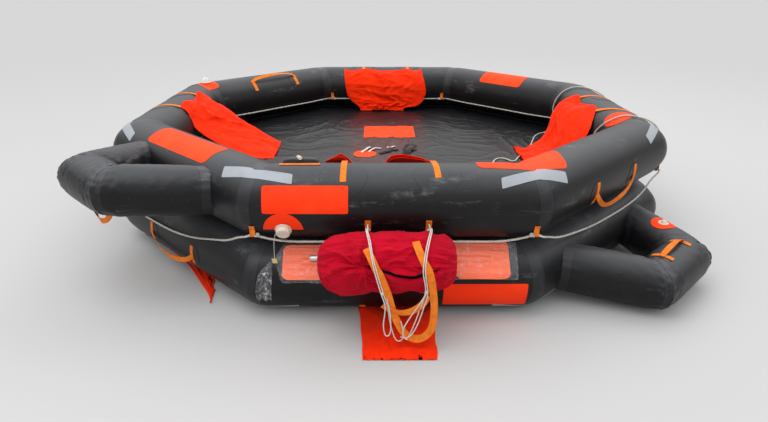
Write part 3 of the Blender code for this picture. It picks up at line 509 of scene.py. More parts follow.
def clearFilm(name="clearFilm", opacity=0.22):
    paint = Paint(name)
    where = paint.here()
    crease = paint.grain(where, 38, 6, 0.65, 1.6)
    ridge = paint.grain(where, 17, 5, 0.6, 2.2)
    # creases turn whiter and more opaque: partly the film's real milky creasing, partly painted highlight
    creaseMilkAndHighlight = (crease.between(0.50, 0.72) * 0.55 + ridge.between(0.55, 0.75) * 0.35).least(1.0)
    height = crease + ridge * 1.5
    return paint.use(Base_Color=(0.80, 0.82, 0.84), Roughness=0.10 + crease * 0.16,
                     Alpha=0.05 + creaseMilkAndHighlight * opacity, Specular_IOR_Level=0.7,
                     Normal=paint.bump(height, 0.9, 0.004))


def clearDome(name="clearDome"):
    paint = Paint(name)
    where = paint.here()
    haze = paint.grain(where, 90, 4, 0.6)
    return paint.use(Base_Color=(0.80, 0.82, 0.85), Roughness=0.10 + haze * 0.15, Alpha=0.45 + haze * 0.25,
                     Specular_IOR_Level=0.8, Normal=paint.bump(haze, 0.1, 0.0005))


# each finish is a material and the name of its slot
rubber = (blackRubber(), "black_rubber")
patchRubber = (orangeRubber(), "orange_rubber")
signRubber = (orangeRubber("signRubber", (1.0, 0.036, 0.0), (1.0, 0.075, 0.012)), "orange_rubber")
floorSheet = (glossySheet(), "floor_cloth")
pocketCloth = (wovenCloth("pocketCloth", (0.95, 0.030, 0.001), (0.78, 0.014, 0.0), (1.0, 0.065, 0.004)),
               "pocket_cloth")
bagCloth = (wovenCloth("bagCloth", (0.50, 0.0, 0.016), (0.29, 0.0, 0.008), (0.64, 0.003, 0.031), 0.6,
                       zipped=True), "bag_cloth")
orangeWeb = (webCloth("orangeWebbing", (0.88, 0.215, 0.010), (0.46, 0.09, 0.005)), "orange_webbing")
blackWeb = (webCloth("blackWebbing", (0.012, 0.012, 0.013), (0.004, 0.004, 0.004)), "black_rubber")
lineRope = (ropeCloth("lineRope"), "lifeline_rope")
lashingCord = (ropeCloth("lashingCord", (0.74, 0.72, 0.68), (0.40, 0.38, 0.35)), "lifeline_rope")
tapeFilm = (reflectiveTape(), "white_plastic")
filmSleeve = (clearFilm(), "clear_plastic")
# the tail's creases whiten more, with more of the painted highlight
filmTail = (clearFilm("filmTail", 0.75), "clear_plastic")
metal = (bareMetal(), "bare_metal")
whitePlastic = (smoothPlastic("whitePlastic", (0.66, 0.58, 0.48), (0.42, 0.36, 0.28)), "white_plastic")
paddleOrange = (smoothPlastic("paddlePlastic", (0.98, 0.115, 0.004), (0.90, 0.16, 0.03), 0.34),
                "paddle_plastic")
tagYellow = (smoothPlastic("tagYellow", (0.50, 0.36, 0.12), (0.36, 0.25, 0.08), 0.5), "white_plastic")
bottlePaint = (paintedSteel(), "cylinder_paint")
domePlastic = (clearDome(), "clear_plastic")
print("materials made")


# camera, floor and light

def addCamera():
    view = {"place": (-0.0611, -3.6030, 0.8825), "pitch": 22.1423, "yaw": 0.4728, "roll": 0.198,
            "focalPixels": 589.776, "imageWidth": 768}
    data = bpy.data.cameras.new("photoCamera")
    camera = bpy.data.objects.new("photoCamera", data)
    bpy.context.scene.collection.objects.link(camera)
    pitch, yaw, roll = (radians(view[k]) for k in ("pitch", "yaw", "roll"))
    ahead = Vector((sin(yaw) * cos(pitch), cos(yaw) * cos(pitch), -sin(pitch)))
    across = ahead.cross(upward).normalized()
    up = across.cross(ahead)
    across, up = across * cos(roll) + up * sin(roll), up * cos(roll) - across * sin(roll)
    turn = Matrix((across, up, -ahead)).transposed().to_4x4()
    x, y, z = view["place"]
    turn.translation = (x + ring["x"], y + ring["y"], z + ring["upperZ"])
    camera.matrix_world = turn
    data.sensor_width = 36
    data.lens = data.sensor_width * view["focalPixels"] / view["imageWidth"]
    bpy.context.scene.camera = camera


def addFloor():
    bpy.ops.object.select_all(action="DESELECT")
    bpy.ops.mesh.primitive_plane_add(size=200, location=(0, 0, 0))
    floor = bpy.context.object
    floor.name = "studioFloor"
    paint = Paint("studioFloor")
    floor.data.materials.append(paint.use(Base_Color=(0.50, 0.50, 0.50), Roughness=0.9))
    floor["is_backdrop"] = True


def addLight():
    bpy.context.scene.view_settings.view_transform = "Standard"
    light = {"horizon": 0.30, "zenith": 1.38,
             "lamps": (((-1.6, -2.2, 4.8), 60, 3.0), ((1.8, 1.8, 5.0), 45, 3.5))}    # (place, energy, size)
    world = bpy.data.worlds.new("softLight")
    world.use_nodes = True
    sky = Paint("softLight", world.node_tree)
    high = sky.node("ShaderNodeTexCoord", {}, {}, "Generated").part("Z").between(0.02, 0.50)
    background = world.node_tree.nodes["Background"]
    sky.feed(background.inputs["Color"], (1, 1, 1))
    sky.feed(background.inputs["Strength"], light["horizon"] + high * (light["zenith"] - light["horizon"]))
    bpy.context.scene.world = world
    for place, energy, size in light["lamps"]:
        bpy.ops.object.light_add(type="AREA", location=place)
        lamp = bpy.context.object
        lamp.rotation_euler = (-Vector(place)).to_track_quat("-Z", "Y").to_euler()
        lamp.data.energy = energy
        lamp.data.size = size


addCamera()
addFloor()
addLight()


# ropes and cords

def ropeFrames(points, closed):
    count = len(points)
    frames = []
    u = None
    for i in range(count):
        if closed and i == count - 1:
            nextOne = points[(i + 1) % (count - 1)]
        else:
            nextOne = points[min(i + 1, count - 1)]
        lastOne = points[-2] if closed and i == 0 else points[max(i - 1, 0)]
        ahead = (nextOne - lastOne).normalized()
        if u is None:
            u = ahead.cross(upward)
            if u.length < 0.1:
                u = ahead.cross(Vector((1, 0, 0)))
        u = (u - ahead * u.dot(ahead)).normalized()
        frames.append((u, ahead.cross(u)))
    return frames


strands = {"count": 3, "depth": 0.13}             # the twist of every rope and cord


def ropeMesh(name, route, radius, closed=False, sides=10, step=0.006, lay=0.030):
    length = pathLength(smoothPath(route, 400, closed))
    count = max(int(length / step), 8)
    points = smoothPath(route, count + 1, closed)
    frames = ropeFrames(points, closed)
    turns = round(length / lay) if closed else length / lay

    def twist(u, v):
        return cos(strands["count"] * 2 * pi * (u - turns * v))

    def ropeSpot(u, v):
        i = min(int(round(v * count)), count)
        i = 0 if closed and i == count else i
        a, (across, up) = 2 * pi * u, frames[i]
        thick = radius * (1 + strands["depth"] * (twist(u, v) - 1))
        return points[i] + (across * cos(a) + up * sin(a)) * thick

    piece = gridSheet(name, sides, count, ropeSpot)
    flat = piece.data.uv_layers.active.data
    # groove depth between the strands; ropeCloth darkens the colour with it as painted shade
    deep = [0.0] * len(piece.data.vertices)
    for loop in piece.data.loops:
        deep[loop.vertex_index] = 0.5 - 0.5 * twist(*flat[loop.index].uv)
    markPoints(piece, "groove", deep)
    weld(piece, radius * 0.08)
    if not closed:
        capEnds(piece)
    return piece, points, length


def looseCord(name, nodes, route, finish, radius, farEnd, lay, *fineness):
    piece, points, length = ropeMesh(name, route, radius, False, *fineness)
    settle(piece, finish, nodes=nodes)
    tuple(points[0])
    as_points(points[::4] + [points[-1]])


def knot(place, axis, radius, turns=2.2, spread=1.6):
    axis = Vector(axis).normalized()
    u = axis.cross(Vector((0.3, 0.2, 1))).normalized()
    v = axis.cross(u)
    route = []
    for i in range(26):
        t = i / 25
        a = 2 * pi * turns * t
        r = radius * (1.25 + 0.35 * sin(3 * a))
        route.append(Vector(place) + axis * (radius * spread * 2 * (t - 0.5)) + (u * cos(a) + v * sin(a)) * r)
    return ropeMesh("knot", route, radius, False, 9, radius * 0.9)[0]


lineRadius = 0.0050
lineLift = lineRadius + 0.0026
lashRadius = 0.0025


def addLooseLines():
    over = ((0.463, 203.6), (0.467, 192), (0.466, 176), (0.462, 160), (0.456, 143), (0.447, 128),
            (0.424, 110), (0.392, 94), (0.345, 80), (0.300, 66), (0.272, 50), (0.250, 32), (0.228, 15),
            (0.205, 0))
    backOver = ((-0.455, 0), (-0.487, 15), (-0.503, 32), (-0.512, 50), (-0.510, 66), (-0.492, 80),
                (-0.462, 94), (-0.436, 108), (-0.425, 122), (-0.403, 139), (-0.375, 156), (-0.356, 172),
                (-0.350, 188), (-0.348, 203.6))
    hanging = ((0.178, -0.030), (0.120, -0.062), (0.020, -0.083), (-0.125, -0.090), (-0.270, -0.083),
               (-0.372, -0.062), (-0.430, -0.030))
    hangOut = ring["apothem"] + ring["tube"] + lineLift
    route = [onTube(right, side, angle, ring["upperZ"], lineLift) for side, angle in over]
    route += [at(right, hangOut, side, ring["upperZ"] + drop) for side, drop in hanging]
    route += [onTube(right, side, angle, ring["upperZ"], lineLift) for side, angle in backOver]
    looseCord("crossingLine", ("crossing_line",), route, lineRope, lineRadius, "object", "loose")

    floorZ = ring["floorTop"] + lineRadius + 0.0006
    tail = [onTube(right, 0.463, 210.6, ring["upperZ"], lineLift), at(right, 1.166, 0.458, 0.390),
            at(right, 1.152, 0.448, 0.362), at(right, 1.125, 0.430, 0.340)]
    lying = ((1.085, 0.405), (1.040, 0.370), (0.995, 0.300), (0.952, 0.185), (0.908, 0.065),
             (0.860, -0.030), (0.811, -0.120), (0.768, -0.205), (0.742, -0.258), (0.718, -0.262),
             (0.700, -0.228), (0.672, -0.205), (0.640, -0.220), (0.616, -0.262), (0.602, -0.310))
    tail += [at(right, out, side, floorZ) for out, side in lying]
    looseCord("lineTail", ("line_tail",), tail, lineRope, lineRadius, "bare", "loose")


addLooseLines()
print("loose lines laid")


# buoyancy tubes

tubeSkin = {"major": 8 * 44, "around": 64, "pinch": 0.0045, "pinchReach": 0.030, "fold": 0.0035}


def skinLift(k, side, angle, ringZ):              # how far the rubber stands off the true cylinder
    reach = ring["apothem"] + ring["tube"] * cos(radians(angle))
    gap = reach * tan(radians(halfSegment)) - abs(side)
    pinch = -tubeSkin["pinch"] * exp(-(gap / tubeSkin["pinchReach"]) ** 2)
    inward = max(0.0, -cos(radians(angle)))
    ripple = noise.noise(Vector((k * 3.7 + side * 4, angle / 22.0, ringZ * 9))) * 0.0009
    wave = noise.noise(Vector((k * 5.1 + side * 9, angle / 7.0, ringZ * 5)))
    fold = -tubeSkin["fold"] * abs(wave) * (0.25 + 0.75 * inward) * exp(-(gap / 0.085) ** 2)
    return pinch + ripple + fold - 0.0006


def skinSpot(k, side, angle, ringZ, lift=0.0):
    near, nearSide = pastCorners(k, side, ring["apothem"] + ring["tube"] * cos(radians(angle)))
    return onTube(k, side, angle, ringZ, lift + skinLift(near, nearSide, angle, ringZ))


def tube(name, node, ringZ):
    bpy.ops.object.select_all(action="DESELECT")
    bpy.ops.mesh.primitive_torus_add(major_radius=ring["apothem"], minor_radius=ring["tube"],
                                     major_segments=tubeSkin["major"], minor_segments=tubeSkin["around"])
    piece = bpy.context.object
    piece.name = name
    seams = []
    for v in piece.data.vertices:
        turn = degrees(atan2(v.co.y, v.co.x)) % 360
        k = int((turn + halfSegment) // 45) % 8
        local = turn - 45 * k - (360 if turn - 45 * k > 180 else 0)
        around = degrees(atan2(v.co.z, hypot(v.co.x, v.co.y) - ring["apothem"]))
        reach = ring["apothem"] + ring["tube"] * cos(radians(around))
        side = reach * tan(radians(local))
        seams.append(reach * tan(radians(halfSegment)) - abs(side))
        v.co = onTube(k, side * 0.99999, around, ringZ, skinLift(k, side, around, ringZ))
    markPoints(piece, "seam", seams)
    piece.data.update()
    settle(piece, rubber, 60, (node,))


tube("upperTube", "upper_buoyancy_tube", ring["upperZ"])
tube("lowerTube", "lower_buoyancy_tube", ring["lowerZ"])
print("buoyancy tubes made")


# boarding ramps

rampShapes = {
    "upper": {"k": leftFront, "ringZ": ring["upperZ"], "reach": 1.764, "endHalf": 0.1245, "rootHalf": 0.2925,
              "radius": 0.108, "rootRise": 0.0045, "endRise": 0.0505},
    "lower": {"k": rightFront, "ringZ": ring["lowerZ"], "reach": 1.765, "endHalf": 0.1675, "rootHalf": 0.339,
              "radius": 0.112, "rootRise": -0.0115, "endRise": -0.037}}
rampRoot = 1.42


def rampAxis(shape, out, turn):
    t = (out - rampRoot) / (shape["reach"] - rampRoot)
    half = mixed(shape["rootHalf"], shape["endHalf"], t)
    return at(shape["k"], out, turn * half, shape["ringZ"] + mixed(shape["rootRise"], shape["endRise"], t))


def ringGap(p, shape):                            # how far a point is off the ring's tube
    return hypot(outFrom(p, radians(45 * shape["k"])), p.z - shape["ringZ"]) - ring["tube"]


def jointGap(run, t, length):                     # metres to the nearest mitred joint of a ramp's three runs
    return min(t * length + (9 if run == 0 else 0), (1 - t) * length + (9 if run == 2 else 0))


def ramp(name, node, shape):
    start = ring["apothem"] + 0.02
    corners = [rampAxis(shape, start, -1), rampAxis(shape, shape["reach"], -1),
               rampAxis(shape, shape["reach"], 1), rampAxis(shape, start, 1)]
    runs = [q - p for p, q in zip(corners, corners[1:])]
    flat = [Vector((r.x, r.y, 0)).normalized() for r in runs]
    planes = [flat[0], (flat[0] + flat[1]).normalized(), (flat[1] + flat[2]).normalized(), flat[2]]
    rows = []                                       # (run, share of the run), closer together at the joints
    for run, count in enumerate((60, 44, 60)):
        rows += [(run, 0.5 - 0.5 * cos(pi * i / count)) for i in range(count + (run == 2))]
    count = len(rows) - 1

    def rampSpot(u, v):
        run, t = rows[min(int(round(v * count)), count)]
        a = 2 * pi * u
        offset = flat[run].cross(upward) * cos(a) + upward * sin(a)
        ends = [(corners[n], -offset.dot(planes[n]) / flat[run].dot(planes[n])) for n in (run, run + 1)]
        length = runs[run].length
        gap = jointGap(run, t, length)
        wave = noise.noise(Vector((run * 7 + t * 9, cos(a) * 2.2, sin(a) * 2.2 + shape["ringZ"] * 8)))
        fine = noise.noise(Vector((run * 3 + t * 22, cos(a) * 3.5, sin(a) * 3.5 + shape["ringZ"] * 3)))
        sharp = noise.noise(Vector((run * 5 + t * length * 26, cos(a) * 4, sin(a) * 4 + shape["ringZ"] * 5)))
        lift = -0.006 * exp(-(gap / 0.03) ** 2) - 0.0055 * abs(wave) * exp(-(gap / 0.09) ** 2)
        lift -= 0.0030 * max(0.0, 1 - 4 * abs(sharp)) * exp(-(gap / 0.07) ** 2)
        lift += fine * 0.0014 - 0.0008 * max(0.0, cos(a))

        def skin(lift):
            r = shape["radius"] + lift
            first, last = (corner + offset * r + flat[run] * (slide * r) for corner, slide in ends)
            return first.lerp(last, t)

        off = ringGap(skin(lift), shape)
        pleat = ridged(cos(a) * 5 + 3, sin(a) * 5, off * 9)
        return skin(lift - 0.0045 * pleat * exp(-(max(off, 0) / 0.045) ** 2))

    piece = gridSheet(name, 84, count, rampSpot)
    seams = [0.0] * len(piece.data.vertices)
    flatUv = piece.data.uv_layers.active.data
    for loop in piece.data.loops:
        run, t = rows[min(int(round(flatUv[loop.index].uv[1] * count)), count)]
        root = max(ringGap(piece.data.vertices[loop.vertex_index].co, shape), 0.0)
        seams[loop.vertex_index] = min(jointGap(run, t, runs[run].length), root)
    markPoints(piece, "seam", seams)
    weld(piece)
    capEnds(piece)
    settle(piece, rubber, 60, (node,))


ramp("upperRamp", "upper_boarding_ramp", rampShapes["upper"])
ramp("lowerRamp", "lower_boarding_ramp", rampShapes["lower"])
print("ramps made")


# floor sheet

def floorRise(x, y):                               # wrinkles of the raft's floor above its plane
    spot = Vector((x, y, 0))
    warp = Vector((noise.noise(spot * 2.1), noise.noise(spot * 2.1 + Vector((5, 1, 0))), 0)) * 0.5
    crease = 1 - abs(noise.noise((spot + warp) * 3.3)) * 2.4
    fine = 1 - abs(noise.noise((spot + warp) * 8.5 + Vector((3, 0, 2)))) * 2.6
    tiny = 1 - abs(noise.noise((spot + warp) * 17 + Vector((7, 0, 5)))) * 3.0
    calm = max(min(1.0, (ring["apothem"] - 0.02 - hypot(x, y)) / 0.25), 0.0)
    rise = max(crease, 0) ** 3 * 0.0055 + max(fine, 0) ** 3 * 0.0034 + max(tiny, 0) ** 3 * 0.0012
    return rise * calm + 0.0018 * exp(-((y - 0.225) / 0.008) ** 2)


def addFloorSheet():
    sheet = {"cells": 250, "reach": ring["apothem"] - 0.02, "thick": 0.006}

    def floorSpot(u, v):
        x, y = (2 * u - 1), (2 * v - 1)
        big = max(abs(x), abs(y))
        if big > 0:
            turn = atan2(y, x)
            off = ((degrees(turn) + halfSegment) % 45) - halfSegment
            reach = sheet["reach"] / cos(radians(off)) * big
            x, y = reach * cos(turn), reach * sin(turn)
        return fromMiddle(x, y, ring["floorTop"] + floorRise(x, y))

    piece = gridSheet("floorSheet", sheet["cells"], sheet["cells"], floorSpot)
    thicken(piece, sheet["thick"])
    settle(piece, floorSheet, 60, ("raft_floor",))


addFloorSheet()
print("floor sheet laid")


# patches, signs and tapes glued to the tubes

patch = {"thick": 0.0012, "sunk": 0.0008, "cell": 0.012}      # sunk is how far its back goes into the rubber


def tubePatch(name, k, ringZ, rows, lift=0.0004, corner=0.02, across=14):
    # rows run along the tube: (side, lower angle, upper angle)
    length = abs(rows[-1][0] - rows[0][0])
    lows, highs = [(row[0], row[1]) for row in rows], [(row[0], row[2]) for row in rows]

    def patchSpot(u, v):
        width = ring["tube"] * radians(abs(mixed(rows[0][2] - rows[0][1], rows[-1][2] - rows[-1][1], v)))
        a, b = (v - 0.5) * length, (u - 0.5) * width
        overA, overB = abs(a) - (length / 2 - corner), abs(b) - (width / 2 - corner)
        if overA > 0 and overB > 0 and hypot(overA, overB) > corner:
            pull = corner / hypot(overA, overB)
            a = (1 if a > 0 else -1) * (length / 2 - corner + overA * pull)
            b = (1 if b > 0 else -1) * (width / 2 - corner + overB * pull)
        side = mixed(rows[0][0], rows[-1][0], a / length + 0.5)
        angle = mixed(readOff(lows, side), readOff(highs, side), b / width + 0.5)
        return skinSpot(k, side, angle, ringZ, lift + patch["thick"])

    piece = gridSheet(name, across, max(int(length / patch["cell"]), 6), patchSpot)
    outward = patchSpot(0.5, 0.5) - at(k, ring["apothem"], mixed(rows[0][0], rows[-1][0], 0.5), ringZ)
    faceTowards(piece, len(piece.data.polygons) // 2, outward)
    thicken(piece, patch["thick"] + patch["sunk"])
    return piece


def addPatches():
    upper, lower = ring["upperZ"], ring["lowerZ"]
    signs = (("upperBoardingSign", front, upper, ((-0.522, 0, 42), (-0.184, 0, 42)), "upper_boarding_sign"),
             ("lowerBoardingSign", front, lower, ((0.205, -39.5, 6.7), (0.555, -39.5, 6.7)),
              "lower_boarding_sign"))
    for name, k, ringZ, rows, node in signs:
        settle(tubePatch(name, k, ringZ, rows, corner=0.006), signRubber, 50, (node,))
    plain = (("leftFrontPatch", leftFront, upper, ((-0.275, 48, 101), (0.262, 48, 101)),
              ("patch_left_front",)),
             ("rightBackPatch", rightBack, upper, ((-0.165, 80, 142), (0.195, 80, 142)),
              ("patch_right_back",)),
             ("frontRightPatch", front, upper, ((0.335, 78, 116), (0.560, 72, 120), (0.785, 52, 104)), ()),
             ("leftBackPatch", leftBack, upper, ((0.440, 84, 126), (0.590, 84, 126)), ()),
             ("lowerRightPatch", rightFront, lower, ((-0.262, -101, -48), (0.275, -101, -48)), ()),
             ("lowerLeftBackPatch", leftBack, lower, ((-0.195, -142, -80), (0.165, -142, -80)), ()))
    for name, k, ringZ, rows, nodes in plain:
        settle(tubePatch(name, k, ringZ, rows, corner=0.025), patchRubber, 50, nodes)
    tapes = (("Right", front, ((0.420, 37, 55), (0.575, 54, 73), (0.757, 31, 49))),
             ("Left", front, ((-0.755, 40, 58), (-0.578, 56, 75), (-0.405, 44, 62))),
             ("FarLeft", leftFront, ((-0.750, 42, 60), (-0.578, 51, 70), (-0.420, 34, 52))),
             ("FarRight", rightFront, ((0.400, 31, 49), (0.578, 51, 70), (0.750, 42, 60))))
    for place, k, rows in tapes:
        flipped = [(side, -high, -low) for side, low, high in rows]
        for name, ringZ, band in (("upperTape", upper, rows), ("lowerTape", lower, flipped)):
            tape = tubePatch(name + place, k, ringZ, band, corner=0.004, across=8)
            settle(tape, tapeFilm, 50)


addPatches()
print("patches and tapes glued")


# webbing, cords and small turned pieces

def measured(piece, across, along):
    for item in piece.data.uv_layers.active.data:
        item.uv = (item.uv[0] * across, item.uv[1] * along)


webWidth = 0.025


def strip(name, points, ups, width, thick=0.0018):
    points = [Vector(p) for p in points]
    count = len(points) - 1

    def stripSpot(u, v):
        i = min(int(round(v * count)), count)
        return points[i] + aheadAt(points, i).cross(Vector(ups[i])).normalized() * ((u - 0.5) * width)

    piece = gridSheet(name, 4, count, stripSpot)
    measured(piece, 1, pathLength(points))
    thicken(piece, thick, offset=0)
    return piece


def tubeNormal(p, ringZ):
    turn = segmentTurn(p)
    out = outFrom(p, turn)
    return Vector((out * cos(turn), out * sin(turn), p.z - ringZ)).normalized()


def band(name, k, ringZ, stations, width=webWidth, count=24):    # stations: (side, angle, lift)
    points = smoothPath([onTube(k, s, a, ringZ, up) for s, a, up in stations], count)
    return strip(name, points, [tubeNormal(p, ringZ) for p in points], width)


def turnedPiece(name, base, axis, profile, sides=40, wave=0.0, waves=0):
    axis = Vector(axis).normalized()
    u = axis.cross(Vector((0.31, 0.17, 0.93))).normalized()
    v = axis.cross(u)
    rows = [(0.0, 0.0005)]
    for (d, r), (e, s) in zip(profile, profile[1:]):
        rows += [(mixed(d, e, t), mixed(r, s, t)) for t in (0.02, 0.5, 0.98)]
    rows.append((profile[-1][0], 0.0005))
    count = len(rows) - 1

    def turnSpot(across, along):
        d, r = rows[min(int(round(along * count)), count)]
        a = 2 * pi * across
        r *= 1 + wave * cos(waves * a)
        return Vector(base) + axis * d + (u * cos(a) + v * sin(a)) * r

    piece = gridSheet(name, sides, count, turnSpot)
    weld(piece, 0.0002)
    return piece


def tubeDisc(name, spot, radius, start=0, end=360, thick=0.0012):       # spot gives a point from two lengths
    def discSpot(u, v):
        a, r = radians(mixed(start, end, u)), radius * max(1 - (1 - v) ** 2, 0.001)
        return spot(r * cos(a), r * sin(a), thick + 0.0006)

    piece = gridSheet(name, 48, 10, discSpot)
    weld(piece, 0.0002)
    middle = spot(0, 0, thick + 0.0006)
    rim = [0.0325 if (v.co - middle).length > radius * 0.965 else 0.05 for v in piece.data.vertices]
    markPoints(piece, "seam", rim)
    faceTowards(piece, -1, spot(0, 0, 0.01) - spot(0, 0, 0))
    thicken(piece, thick + patch["sunk"])
    return piece


def ringSpot(k, side, angle, ringZ):
    def spot(a, b, lift):
        return skinSpot(k, side + a, angle + degrees(b / ring["tube"]), ringZ, lift)
    return spot


def armSpot(shape, turn, along, angle):
    start = rampAxis(shape, rampRoot, turn)
    ahead = (rampAxis(shape, shape["reach"], turn) - start).normalized()
    across = ahead.cross(upward).normalized()
    up = across.cross(ahead)

    def spot(a, b, lift):
        turned = radians(angle) + b / shape["radius"]
        offset = across * cos(turned) + up * sin(turned)
        return start + ahead * (along + a) + offset * (shape["radius"] + lift)
    return spot


def endSpot(shape, side, angle, lift):             # a point on a ramp's end tube
    r = shape["radius"] + lift
    return at(shape["k"], shape["reach"] + r * cos(radians(angle)), side,
              shape["ringZ"] + shape["endRise"] + r * sin(radians(angle)))


def endNormal(shape, side, angle):
    return (endSpot(shape, side, angle, 0.02) - endSpot(shape, side, angle, 0.0)).normalized()


# lifelines

def heldAt(side, angle, ringZ):
    reach = ring["tube"] + lineRadius + 0.0045
    return side, ring["apothem"] + reach * cos(radians(angle)), ringZ + reach * sin(radians(angle))


def linePoints(even, odd, special=None):
    points = []
    for k in range(8):
        rows = (special or {}).get(k, odd if k % 2 else even)
        points += [at(k, out, side, z) for side, out, z in rows]
    return points


def addLifelines():
    line = {"hangOut": 0.1195, "hang": 0.135, "tabSide": 0.570, "tabAngle": -39, "rest": 20, "inner": 0.440}
    upper, lower, reach = ring["upperZ"], ring["lowerZ"], ring["apothem"]
    out, hang = reach + line["hangOut"], upper - line["hang"]
    leftTab, rightTab = (heldAt(s, line["tabAngle"], upper) for s in (-line["tabSide"], line["tabSide"]))
    corner = (0.5975, reach + 0.131, upper - 0.109)
    even = [leftTab, (-0.500, out + 0.003, hang + 0.012), (-0.420, out, hang), (-0.280, out, hang - 0.001),
            (-0.140, out, hang), (0.0, out, hang + 0.001), (0.140, out, hang), (0.280, out, hang - 0.001),
            (0.420, out, hang), (0.500, out + 0.003, hang + 0.012), rightTab, corner]
    sagging = ((-0.530, -0.135), (-0.420, -0.170), (-0.240, -0.198), (-0.100, -0.212), (0.060, -0.2165),
               (0.220, -0.2155), (0.350, -0.205), (0.440, -0.186), (0.530, -0.145))
    odd = [(side, out + 0.001, upper + drop) for side, drop in sagging]
    odd.append((corner[0] - 0.001, corner[1], corner[2]))
    rest = line["rest"]
    slack = [(-0.520, reach + 0.146, upper - 0.160), (-0.430, reach + 0.155, upper - 0.225)]
    slack += [heldAt(s, a, lower) for s, a in ((-0.330, rest), (-0.200, rest - 1), (-0.070, rest),
                                               (0.060, rest + 4), (0.180, rest + 11), (0.300, 42))]
    slack += [(0.420, reach + 0.121, upper - 0.186), (0.520, reach + 0.124, upper - 0.140), odd[-1]]

    lines = [("outerLifeline", "outer_lifeline", linePoints(even, odd, {leftFront: slack}), upper,
              (-39, -1), line["tabSide"])]
    for name, node, ringZ, up in (("upperInnerLifeline", "upper_inner_lifeline", upper, 1),
                                  ("lowerInnerLifeline", "lower_inner_lifeline", lower, -1)):
        tabs = [heldAt(s, 180 + 27 * up, ringZ) for s in (-line["inner"], -0.22, 0.0, 0.22, line["inner"])]
        inner, z = tabs[0][1], tabs[0][2]
        turnAt = (0.4820, inner, z)
        between = [(s, inner, z - 0.004) for s in (-0.30, -0.10, 0.10, 0.30)]
        lines.append((name, node, linePoints(tabs + [turnAt], between + [turnAt]), ringZ, (180 + 27 * up, up),
                      line["inner"]))
    for name, node, points, ringZ, (angle, way), side in lines:
        piece = ropeMesh(name, points, lineRadius, True, 12, 0.008)[0]
        settle(piece, lineRope, nodes=(node,))
        knots, tabs = [], []
        tabRows = ((-17, 0.0012), (-9, 0.0014), (-5, 0.008), (0, 0.0160), (4, 0.010), (5, 0.0035),
                   (1, 0.0020))
        for k in (right, back, left, front):
            for s in (-side, side):
                p = onTube(k, s, angle, ringZ, lineRadius + 0.0045)
                ahead = onTube(k, s + 0.01, angle, ringZ, 0.01) - onTube(k, s - 0.01, angle, ringZ, 0.01)
                off = ahead.normalized() * (0.017 if s < 0 else -0.017)
                knots.append(knot(p + off, ahead, lineRadius * 0.9))
                stations = [(s, angle + turn * way, lift) for turn, lift in tabRows]
                tabs.append(band("tab", k, ringZ, stations, 0.022, 26))
        settle(joined(name + "Knots", knots), lineRope)
        settle(joined(name + "Tabs", tabs), orangeWeb)
    ends = []
    for k, s, a, tilt in ((right, 0.463, 204, 0.3), (right, -0.348, 204, -0.2)):
        p = onTube(k, s, a, upper, lineRadius + 0.008)
        ends.append(knot(p, Vector((0.3 * tilt, 1, tilt)), lineRadius, 2.6, 2.0))
    settle(joined("crossingKnots", ends), lineRope)


addLifelines()
print("lifelines tied")


# grab handles

def handle(name, node, spot, normal, sides, ends, web, belly, rise, flat=0.62):
    strap = {"width": 0.024, "endWidth": 0.026, "overEnd": 0.013, "twist": radians(16), "count": 54}
    count, pieces = strap["count"], []
    for s in sides:
        angles = [mixed(min(ends) - 1, max(ends) + 1, i / 16) for i in range(17)]
        pieces.append(strip("end", [spot(s, a, 0.0014) for a in angles], [normal(s, a) for a in angles],
                            strap["endWidth"]))
    route, ups = [], []
    for i in range(49):
        t = i / 48
        hangs = sin(pi * min(max((t - 0.04) / 0.92, 0), 1)) ** flat
        side = mixed(sides[0] - strap["overEnd"], sides[1] + strap["overEnd"], t)
        angle = mixed(web, belly, hangs * (1 + 0.10 * sin(2 * pi * t)))
        route.append(spot(side, angle, 0.0034 + rise * hangs))
        face = normal(side, angle)
        if face.z < -0.1:                           # a strap's loose part below the tube faces outward
            face = face.lerp(normal(side, 0 if cos(radians(angle)) > -0.2 else 180), hangs * 0.85)
        ups.append(face)
    route = smoothPath(route, count)
    twisted = []
    for i in range(count):                          # the free part turns a little on its way
        t = i / (count - 1)
        lean = strap["twist"] * sin(2 * pi * t) * min(1, 6 * min(t, 1 - t))
        turn = Matrix.Rotation(lean, 3, aheadAt(route, i))
        twisted.append(turn @ ups[min(int(i * len(ups) / count), len(ups) - 1)])
    pieces.append(strip("web", route, twisted, strap["width"]))
    settle(joined(name, pieces), orangeWeb, nodes=(node,))


def ringHandle(name, node, k, ringZ, *shape):
    handle(name, node, lambda s, a, up: onTube(k, s, a, ringZ, up),
           lambda s, a: tubeNormal(onTube(k, s, a, ringZ, 0.01), ringZ), *shape)
    sides, ends = shape[:2]
    discs = [tubeDisc("disc", ringSpot(k, s, sum(ends) / 2, ringZ), 0.062, thick=0.0006) for s in sides]
    settle(joined(name + "Discs", discs), rubber, 50)


def rampHandle(name, node, shape, *values):
    handle(name, node, lambda s, a, up: endSpot(shape, s, a, up),
           lambda s, a: endNormal(shape, s, a), *values)


